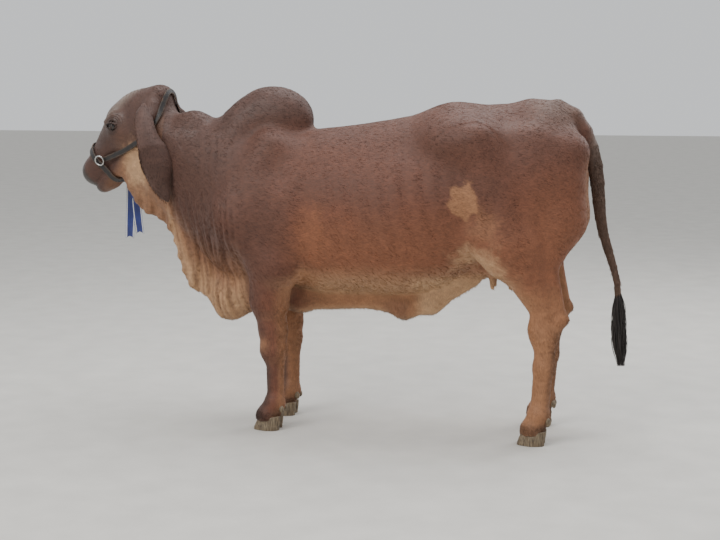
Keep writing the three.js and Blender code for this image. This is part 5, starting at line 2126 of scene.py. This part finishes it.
    def outer_hair(self, points: Array) -> bpy.types.Object:
        """Makes short hair lying down the back of the ear.

        Args:
            points: the ear's points, ring by ring.

        Returns:
            The piece.
        """
        dice = np.random.default_rng(81 + self.side.value)
        ring = 2 * (self.arcs + 1)
        grid = points.reshape(self.steps + 1, ring, 3)
        count = 1800
        i, j = dice.integers(1, self.steps - 2, count), dice.integers(0, ring - 1, count)
        u, v = dice.random((2, count, 1))
        near = grid[i, j] * (1 - u) + grid[i + 1, j] * u
        far = grid[i, j + 1] * (1 - u) + grid[i + 1, j + 1] * u
        p = near * (1 - v) + far * v
        down = unit(grid[i + 1, j] - grid[i, j])
        out = unit(np.cross(grid[i, j + 1] - grid[i, j], down))
        keep = j != self.arcs
        sign = -1.0 if self.flipped(grid) else 1.0
        p, down, out, j, i = p[keep], down[keep], sign * out[keep], j[keep], i[keep]
        share = (j > self.arcs)[:, None] * 0.6
        colour = (Tone.UMBER.linear * (1 - share) + Tone.TAN.linear * share) * dice.uniform(0.75, 1.2, (len(p), 1))
        uv = np.column_stack([0.05 + 0.9 * i / self.steps, 0.05 + 0.9 * j / ring])
        return spikes(f"ear_{self.side.word}_coat", p, out, down, dice.uniform(7, 12, len(p)), np.full(len(p), 1.8),
                      np.full(len(p), 0.7), 0.0, colour, uv, TuftFinish(f"ear_tufts_{self.side.word}").make())

    def flipped(self, grid: Array) -> bool:
        """Tells whether the grid's own outward direction points into the ear."""
        mid = self.steps // 2
        a, b = grid[mid, self.arcs // 2], grid[mid, self.arcs // 2 + 1]
        normal = np.cross(b - a, grid[mid + 1, self.arcs // 2] - a)
        return float(normal @ (a - grid[mid, -1 - self.arcs // 2])) < 0


def fix_outward(made: bpy.types.Object) -> None:
    """Turns a closed mesh's faces outward."""
    work = bmesh.new()
    work.from_mesh(made.data)
    bmesh.ops.recalc_face_normals(work, faces=work.faces)
    work.to_mesh(made.data)
    work.free()


@dataclass
class Foot:
    """A cloven hoof: two claws, the heel bulb between them, and two dewclaws above."""

    name: str
    x: float
    y: float
    dew: tuple[float, float]
    length: float = 118.0
    width: float = 50.0
    offset: float = 25.5
    levels: tuple[tuple[float, float, float], ...] = (
        (0.0, 0.965, 1.0), (1.6, 1.0, 0.6), (14.0, 0.99, 2.0), (34.0, 0.94, 8.0),
        (57.85, 0.84, 15.0), (60.0, 0.8, 15.0), (60.5, 0.6, 15.0),
    )

    def claw(self, sign: int) -> tuple[Array, list[list[int]]]:
        """Makes one claw.

        Args:
            sign: which side of the cleft it stands on.

        Returns:
            Its points and faces.
        """
        rings, sides, points = 30, 40, []
        z, size, back = (np.array(c) for c in zip(*self.levels))
        for i in range(rings + 1):
            share = i / rings
            height = 1.6 * share * 5 if share < 0.2 else 1.6 + (share - 0.2) / 0.8 * 58.9
            s, b = np.interp(height, z, size), np.interp(height, z, back)
            s += 0.006 * math.sin(height * 0.9) * (3 < height < 58)
            for j in range(sides):
                a = 2 * math.pi * j / sides
                c, n = math.cos(a), math.sin(a)
                flare = 1.15 if n * sign > 0 else 0.85
                x = self.x + b + c * self.length / 2 * s * (1.0 if c < 0 else 0.9)
                y = self.y + sign * self.offset + n * self.width / 2 * s * flare * (1 + 0.35 * c if c < 0 else 1)
                points.append(vec(x, y, height))
        return np.array(points), loft_faces(rings + 1, sides)

    def blob(self, centre: Array, radii: Array, lean: float = 0.0) -> tuple[Array, list[list[int]]]:
        """Makes a rounded lump, pointed downward.

        Args:
            centre: its middle.
            radii: its three half sizes.
            lean: how far its lower end reaches back.

        Returns:
            Its points and faces.
        """
        rings, sides, points = 16, 20, []
        for i in range(rings + 1):
            a = math.pi * (0.02 + 0.96 * i / rings)
            for j in range(sides):
                b = 2 * math.pi * j / sides
                r = math.sin(a) * (1 - 0.25 * (a > math.pi / 2) * (a / math.pi - 0.5))
                p = vec(r * math.cos(b), r * math.sin(b), math.cos(a)) * radii
                points.append(centre + p + vec(lean * (1 - math.cos(a)) / 2, 0, 0))
        return np.array(points), loft_faces(rings + 1, sides)

    def build(self) -> bpy.types.Object:
        """Joins the claws, the bulb and the dewclaws.

        Returns:
            The hoof.
        """
        parts = [self.claw(1), self.claw(-1), self.blob(vec(self.x + 26, self.y, 34), vec(24, 26, 24))]
        for sign in (1, -1):
            parts.append(self.blob(vec(self.dew[0] + 2, self.y + sign * 23, self.dew[1]), vec(12, 11.5, 18), 6))
        points, faces, start = [], [], 0
        for p, f in parts:
            points.append(p)
            faces += shifted(f, start)
            start += len(p)
        made = add_mesh(f"{self.name}_horn", np.vstack(points), faces, HornFinish(f"horn_{self.name}").make())
        fix_outward(made)
        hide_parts(self.name)
        return made


@dataclass
class Switch:
    """The tail's brush of long black hair, as many bent tapering locks."""

    locks: int = 430
    top: float = 612.0
    tip: float = 309.0

    def build(self) -> bpy.types.Object:
        """Makes the locks.

        Returns:
            The switch.
        """
        dice = np.random.default_rng(17)
        end = tail_line(2)[-1]
        rings, points, faces, uv, colour = 11, [], [], [], []
        for _ in range(self.locks):
            way = dice.uniform(0, 2 * math.pi)
            drop = dice.beta(1, 1.6) * 135
            out = vec(math.cos(way), math.sin(way), 0)
            root = vec(end[0] + 1 + 4 * drop / 135, 0, self.top - drop)
            root = root + out * (11 + 0.03 * drop) * dice.uniform(0.6, 1)
            length = min(self.top - drop - self.tip, dice.uniform(120, 300))
            swell = dice.uniform(6, 22)
            wave, phase = dice.uniform(1, 4.5), dice.uniform(0, 6.28)
            width, tint = dice.uniform(3.2, 7.5), dice.uniform(0.6, 1.5)
            start = len(points)
            for i in range(rings + 1):
                t = i / rings
                bend = swell * math.sin(min(1, 1.15 * t) * math.pi * 0.86) - 6 * t * t
                curl = vec(wave * math.sin(phase + 5 * t), wave * math.cos(phase + 4 * t), 0) * t
                centre = root + out * bend + curl + vec(16 * t * t, 0, -length * t)
                across = vec(-math.sin(way + 0.7 * t), math.cos(way + 0.7 * t), 0)
                thin = np.cross(vec(0, 0, 1), across)
                half = width / 2 * (1 - t) ** 0.7 * (0.8 + 0.4 * math.sin(math.pi * t)) + 0.3
                deep = 1.5 * (1 - t) + 0.3
                points += [centre + across * half, centre + thin * deep, centre - across * half, centre - thin * deep]
                uv += [(0.05 + 0.9 * way / 6.29, 0.1 + 0.8 * drop / 140 + 0.003 * (k - 1.5) / 4 + 0.003 * t)
                       for k in range(4)]
                tone = linear((38, 33, 31)) * tint * (1 + 0.4 * t)
                colour += [tone] * 4
            faces += shifted(loft_faces(rings + 1, 4), start)
        made = add_mesh("switch_locks", np.array(points), faces, TuftFinish("switch_hair", 0.42).make())
        paint(made, "coat", np.array(colour))
        lay_out(made, np.array(uv))
        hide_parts("tail_switch")
        return made


# Halter and ribbon


@dataclass
class Halter:
    """Noseband, crown strap, side rings and their stitching."""

    nose_width: float = 30.0
    strap_width: float = 24.0
    depth: float = 3.6
    body: Field = field(default_factory=Anatomy.coarse)

    def onto(self, start: Array, towards: Array, lift: float = 0.0) -> Array:
        """Walks from a point towards another until the hide is met.

        Args:
            start: where the walk starts.
            towards: where it is heading.
            lift: distance over the hide at which it stops.

        Returns:
            The point reached.
        """
        step, p = unit(towards - start), start.copy()
        for _ in range(60):
            d = float(self.body.at(p[None])[0]) - lift
            if abs(d) < 0.2:
                break
            p = p + step * min(d, 40) * 0.8
        return p

    def taut(self, line: Array, closed: bool) -> Array:
        """Draws a line tight over the hide.

        Args:
            line: its points.
            closed: whether it runs round.

        Returns:
            The tight line.
        """
        for _ in range(12):
            mid = (np.roll(line, 1, 0) + np.roll(line, -1, 0)) / 2
            q = line * 0.4 + mid * 0.6
            if not closed:
                q[0], q[-1] = line[0], line[-1]
            for _ in range(6):
                d = self.body.at(q)
                low = d < 4
                if not low.any():
                    break
                q[low] += unit(self.body.slope(q[low])) * (4.5 - d[low])[:, None]
            line = q
        return line

    def strap(self, name: str, line: Array, closed: bool, width: float, node: str) -> list[bpy.types.Object]:
        """Makes a flat strap with rounded edges and two rows of stitches.

        Args:
            name: the piece's name.
            line: its middle line.
            closed: whether it runs round.
            width: its width.
            node: the solid it stands for.

        Returns:
            The strap and its stitches.
        """
        if closed:
            fine = catmull([*line, line[0], line[1]], (len(line) + 1) * 8)
            run = np.linalg.norm(fine - fine[0], axis=1)
            stop = len(line) * 7 + int(np.argmin(run[len(line) * 7:]))
            fine = fine[:stop]
            tangent = unit(np.roll(fine, -1, 0) - np.roll(fine, 1, 0))
        else:
            fine = catmull(list(line), len(line) * 8)
            tangent = unit(np.gradient(fine, axis=0))
        up = unit(self.body.slope(fine, 6.0))
        up = unit(up - (up * tangent).sum(1, keepdims=True) * tangent)
        across = np.cross(tangent, up)
        outline = [(-0.5, 0.6), (-0.48, 2.7), (-0.43, 3.5), (-0.2, 3.75), (0.2, 3.75), (0.43, 3.5), (0.48, 2.7),
                   (0.5, 0.6), (0.46, -0.6), (-0.46, -0.6)]
        rings = np.stack([fine + across * (w * width) + up * h for w, h in outline], 1)
        count, sides = rings.shape[:2]
        made = add_mesh(name, rings.reshape(-1, 3), loft_faces(count, sides, closed),
                        LeatherFinish(f"{name}_leather").make())
        fix_outward(made)
        paint(made, "edge", np.tile([1, 1, 0.5, 0, 0, 0.5, 1, 1, 0.4, 0.4], count).astype(float))
        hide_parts(node)
        rows = []
        gap = np.linalg.norm(np.diff(fine, axis=0), axis=1).mean()
        every = max(1, round(7.0 / gap))
        for edge in (-1, 1):
            for i in range(every, count - every, every):
                seam = fine[i] + across[i] * edge * (width / 2 - 3.2) + up[i] * 3.7
                rows.append((seam, tangent[i], across[i], up[i]))
        points, stitch_faces = [], []
        for p, t, a, u in rows:
            start = len(points)
            for k in range(5):
                s = -1 + 2 * k / 4
                r = 0.75 * math.sqrt(max(0.08, 1 - s * s))
                for j in range(6):
                    b = 2 * math.pi * j / 6
                    points.append(p + t * 2.6 * s + a * r * math.cos(b) + u * r * math.sin(b))
            stitch_faces += shifted(loft_faces(5, 6), start)
        thread = add_mesh(f"{name}_stitches", np.array(points), stitch_faces, self.thread(name))
        return [made, thread]

    @staticmethod
    def thread(name: str) -> bpy.types.Material:
        """Makes the waxed thread of the stitches.

        Args:
            name: the strap's name.

        Returns:
            The material.
        """
        s = Shader(f"{name}_thread", 0.6, 0.4)
        twist = s.noise(s.place(), 1500, 2)
        tone = s.mix(s.ramp(twist, 0.3, 0.7), rgba((70, 62, 54)), rgba((104, 92, 78)))
        return s.finish(tone, s.bump(twist, 0.3, 0.0003))

    def ring(self, side: Side) -> bpy.types.Object:
        """Makes a side ring.

        Args:
            side: which side.

        Returns:
            The ring.
        """
        s = side.value
        centre = self.onto(head_point(409, s * 200, -46), head_point(409, 0, -46), 15)
        up = unit(self.body.slope(centre[None], 6.0)[0])
        a = unit(np.cross(up, vec(0, 0, 1)))
        b = np.cross(up, a)
        points = []
        for i in range(48):
            t = 2 * math.pi * i / 48
            out = a * math.cos(t) + b * math.sin(t)
            for j in range(14):
                k = 2 * math.pi * j / 14
                points.append(centre + out * (21 + 3.3 * math.cos(k)) + up * 3.3 * math.sin(k))
        made = add_mesh(f"ring_{side.word}_metal", np.array(points), loft_faces(48, 14, True),
                        MetalFinish(f"metal_{side.word}").make())
        fix_outward(made)
        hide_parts(f"halter_ring_{side.word}")
        return made

    def build(self) -> list[bpy.types.Object]:
        """Makes the whole halter.

        Returns:
            The pieces.
        """
        nose = []
        for i in range(28):
            a = 2 * math.pi * i / 28
            nose.append(self.onto(head_point(425 + 8 * math.cos(a), 220 * math.sin(a), -40 + 220 * math.cos(a)),
                                  head_point(425, 0, -40)))
        made = self.strap("noseband", self.taut(np.array(nose), True), True, self.nose_width, "halter_noseband")
        half = [(392, 150, -52), (330, 150, -88), (267, 160, -124), (200, 180, -152), (130, 190, -174), (70, 190, -172),
                (20, 170, -138), (-8, 120, -84), (-20, 60, 0)]
        way = [(a, -b, u) for a, b, u in half] + [(-24, 0, 60)] + half[::-1]
        line = np.array([self.onto(head_point(*p), head_point(p[0], 0, min(p[2], -40))) for p in way])
        line = self.taut(catmull(list(line), 31), False)
        made += self.strap("crown_strap", line, False, self.strap_width, "halter_crown")
        made += [self.ring(side) for side in Side]
        return made


@dataclass
class Ribbon:
    """A satin ribbon tied to the halter's far side, with two hanging tails."""

    halter: Halter
    width: float = 40.0
    lengths: tuple[float, float] = (348.0, 328.0)
    swings: tuple[float, float] = (-0.5, 1.3)

    def tail(self, name: str, top: Array, length: float, swing: float) -> bpy.types.Object:
        """Makes one hanging tail.

        Args:
            name: the piece's name.
            top: where it leaves the knot.
            length: its length.
            swing: how far it hangs to one side.

        Returns:
            The tail.
        """
        rings, sides, points, across = 70, 11, [], []
        for i in range(rings + 1):
            t = i / rings
            sway = math.sin(t * 5 + swing) * 7 * t
            centre = top + vec(swing * 22 * t - 45 * min(1, 3 * t), sway + 6 * t, -length * t)
            w = self.width / 2 * (0.5 + 0.5 * min(1, 5 * t))
            for face in (-0.35, 0.35):
                for j in (range(sides) if face < 0 else range(sides - 1, -1, -1)):
                    s = 2 * j / (sides - 1) - 1
                    gather = 3.5 * math.cos(3 * math.pi * s) * math.exp(-7 * t) + 2.0 * math.sin(9 * t + 2 * s)
                    notch = 13 * abs(s) * smoothstep(0.93, 1.0, t)
                    points.append(centre + vec(w * s, face + gather, -notch + 6 * smoothstep(0.93, 1.0, t)))
                    across.append(abs(s))
        made = add_mesh(name, np.array(points), loft_faces(rings + 1, 2 * sides), self.finish)
        fix_outward(made)
        paint(made, "across", np.array(across, float))
        return made

    def bow(self, knot: Array) -> bpy.types.Object:
        """Makes the two loops and the knot.

        Args:
            knot: where the ribbon is tied.

        Returns:
            The bow.
        """
        points, faces, across = [], [], []
        for turn in (-1, 1):
            start, rings, sides = len(points), 40, 7
            for i in range(rings):
                a = 2 * math.pi * i / rings
                reach = 27 * (1 - math.cos(a)) / 2
                for face in (0.0, 0.8):
                    for j in (range(sides) if not face else range(sides - 1, -1, -1)):
                        s = 2 * j / (sides - 1) - 1
                        spread = 11 * (0.35 + 0.65 * reach / 27)
                        rise = 13 * math.sin(a) * (1 - 0.1 * s) + 4 + s * spread * 0.5
                        points.append(knot + vec(turn * (reach + face * math.cos(a)) * 1.9 + 1 * s,
                                                 s * spread * 0.55, rise))
                        across.append(abs(s))
            faces += shifted(loft_faces(rings, 2 * sides, True), start)
        start = len(points)
        for i in range(15):
            a = math.pi * (0.02 + 0.96 * i / 14)
            for j in range(20):
                b = 2 * math.pi * j / 20
                r = 13 * math.sin(a) * (1 + 0.06 * math.sin(5 * b))
                points.append(knot + vec(r * math.cos(b), 0.62 * r * math.sin(b), 14 * math.cos(a)))
                across.append(0.3)
        faces += shifted(loft_faces(15, 20), start)
        made = add_mesh("ribbon_bow", np.array(points), faces, self.finish)
        fix_outward(made)
        paint(made, "across", np.array(across, float))
        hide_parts("ribbon")
        return made

    def build(self) -> list[bpy.types.Object]:
        """Returns:
            The pieces.
        """
        self.finish = SatinFinish("ribbon_satin").make()
        knot = self.halter.onto(head_point(372, 260, -96), head_point(372, 0, -96), 34)
        bow = self.bow(knot)
        tops = (knot, knot + vec(6, 4, 0))
        tails = []
        for i in (0, 1):
            made = self.tail(f"ribbon_tail_{i + 1}", tops[i], self.lengths[i], self.swings[i])
            tails.append(made)
        return [bow, *tails]


# Studio


@dataclass(frozen=True)
class Lamp:
    """A soft area lamp."""

    name: str
    where: tuple[float, float, float]
    size: float
    power: float
    colour: tuple[float, float, float] = (1.0, 1.0, 1.0)


@dataclass(frozen=True)
class Studio:
    """Camera at the photo's angle, pale floor and soft lamps."""

    lens: float = 68.5
    place: tuple[float, float, float] = (1.0524, -5.678, 1.5)
    pitch: float = 8.06
    yaw: float = 11.7
    lamps: tuple[Lamp, ...] = (
        Lamp("key", (-2.6, -4.2, 4.6), 3.2, 210, (1.0, 0.98, 0.95)),
        Lamp("top", (0.6, 0.6, 5.0), 4.0, 200, (0.96, 0.98, 1.0)),
        Lamp("rim", (3.6, 2.8, 3.4), 2.2, 80, (1.0, 1.0, 1.0)),
    )

    def camera(self) -> None:
        """Makes the camera."""
        data = bpy.data.cameras.new("camera")
        data.lens, data.sensor_width = self.lens, 36.0
        made = bpy.data.objects.new("camera", data)
        bpy.context.scene.collection.objects.link(made)
        made.location = (self.place[0] + SHIFT_X / 1000, self.place[1], self.place[2])
        made.rotation_euler = (math.radians(90 - self.pitch), 0, math.radians(self.yaw))
        bpy.context.scene.camera = made

    def room(self) -> None:
        """Makes the floor, the sky's even light and the lamps."""
        mesh = bpy.data.meshes.new("floor")
        mesh.from_pydata([(-30, -30, 0), (30, -30, 0), (30, 30, 0), (-30, 30, 0)], [], [(0, 1, 2, 3)])
        mesh.materials.append(FloorFinish().make())
        floor = bpy.data.objects.new("floor", mesh)
        bpy.context.scene.collection.objects.link(floor)
        floor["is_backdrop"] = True
        world = bpy.data.worlds.new("studio")
        world.use_nodes = True
        world.node_tree.nodes["Background"].inputs[0].default_value = (0.86, 0.88, 0.9, 1)
        world.node_tree.nodes["Background"].inputs[1].default_value = 0.9
        bpy.context.scene.world = world
        target = Vector((0.0, 0.0, 0.8))
        for lamp in self.lamps:
            data = bpy.data.lights.new(lamp.name, "AREA")
            data.size, data.energy, data.color = lamp.size, lamp.power, lamp.colour
            made = bpy.data.objects.new(lamp.name, data)
            made.location = lamp.where
            made.rotation_euler = (target - Vector(lamp.where)).to_track_quat("-Z", "Y").to_euler()
            bpy.context.scene.collection.objects.link(made)


def corners() -> list[list[float]]:
    """Gives the shown object's lowest and highest corner."""
    return [[float(v) for v in corner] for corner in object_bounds()]


def main() -> None:
    """Builds the whole animal and its studio."""
    logging.basicConfig(level=logging.INFO, format="%(name)s %(message)s")
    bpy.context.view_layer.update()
    studio = Studio()
    studio.camera()
    hide = Hide()
    skin = hide.build()
    log.info("hide: %d faces", len(skin.data.polygons))
    for piece in Coat(hide, skin).build():
        log.info("%s done", piece.name)
    for side in Side:
        for maker in (Eye(side), Ear(side)):
            for piece in maker.build():
                log.info("%s: %d faces", piece.name, len(piece.data.polygons))
        for name, x, y, dew in (("fore", -497.0, FORE_HALF_STANCE, (-438.0, 92.0)),
                                ("hind", 631.0, HIND_HALF_STANCE, (694.0, 100.0))):
            piece = Foot(f"hoof_{name}_{side.word}", x, side.value * y, dew).build()
            log.info("%s: %d faces", piece.name, len(piece.data.polygons))
    log.info("%s done", Switch().build().name)
    halter = Halter()
    for piece in [*halter.build(), *Ribbon(halter).build()]:
        log.info("%s: %d faces", piece.name, len(piece.data.polygons))
    studio.room()


if __name__ == "__main__":
    main()
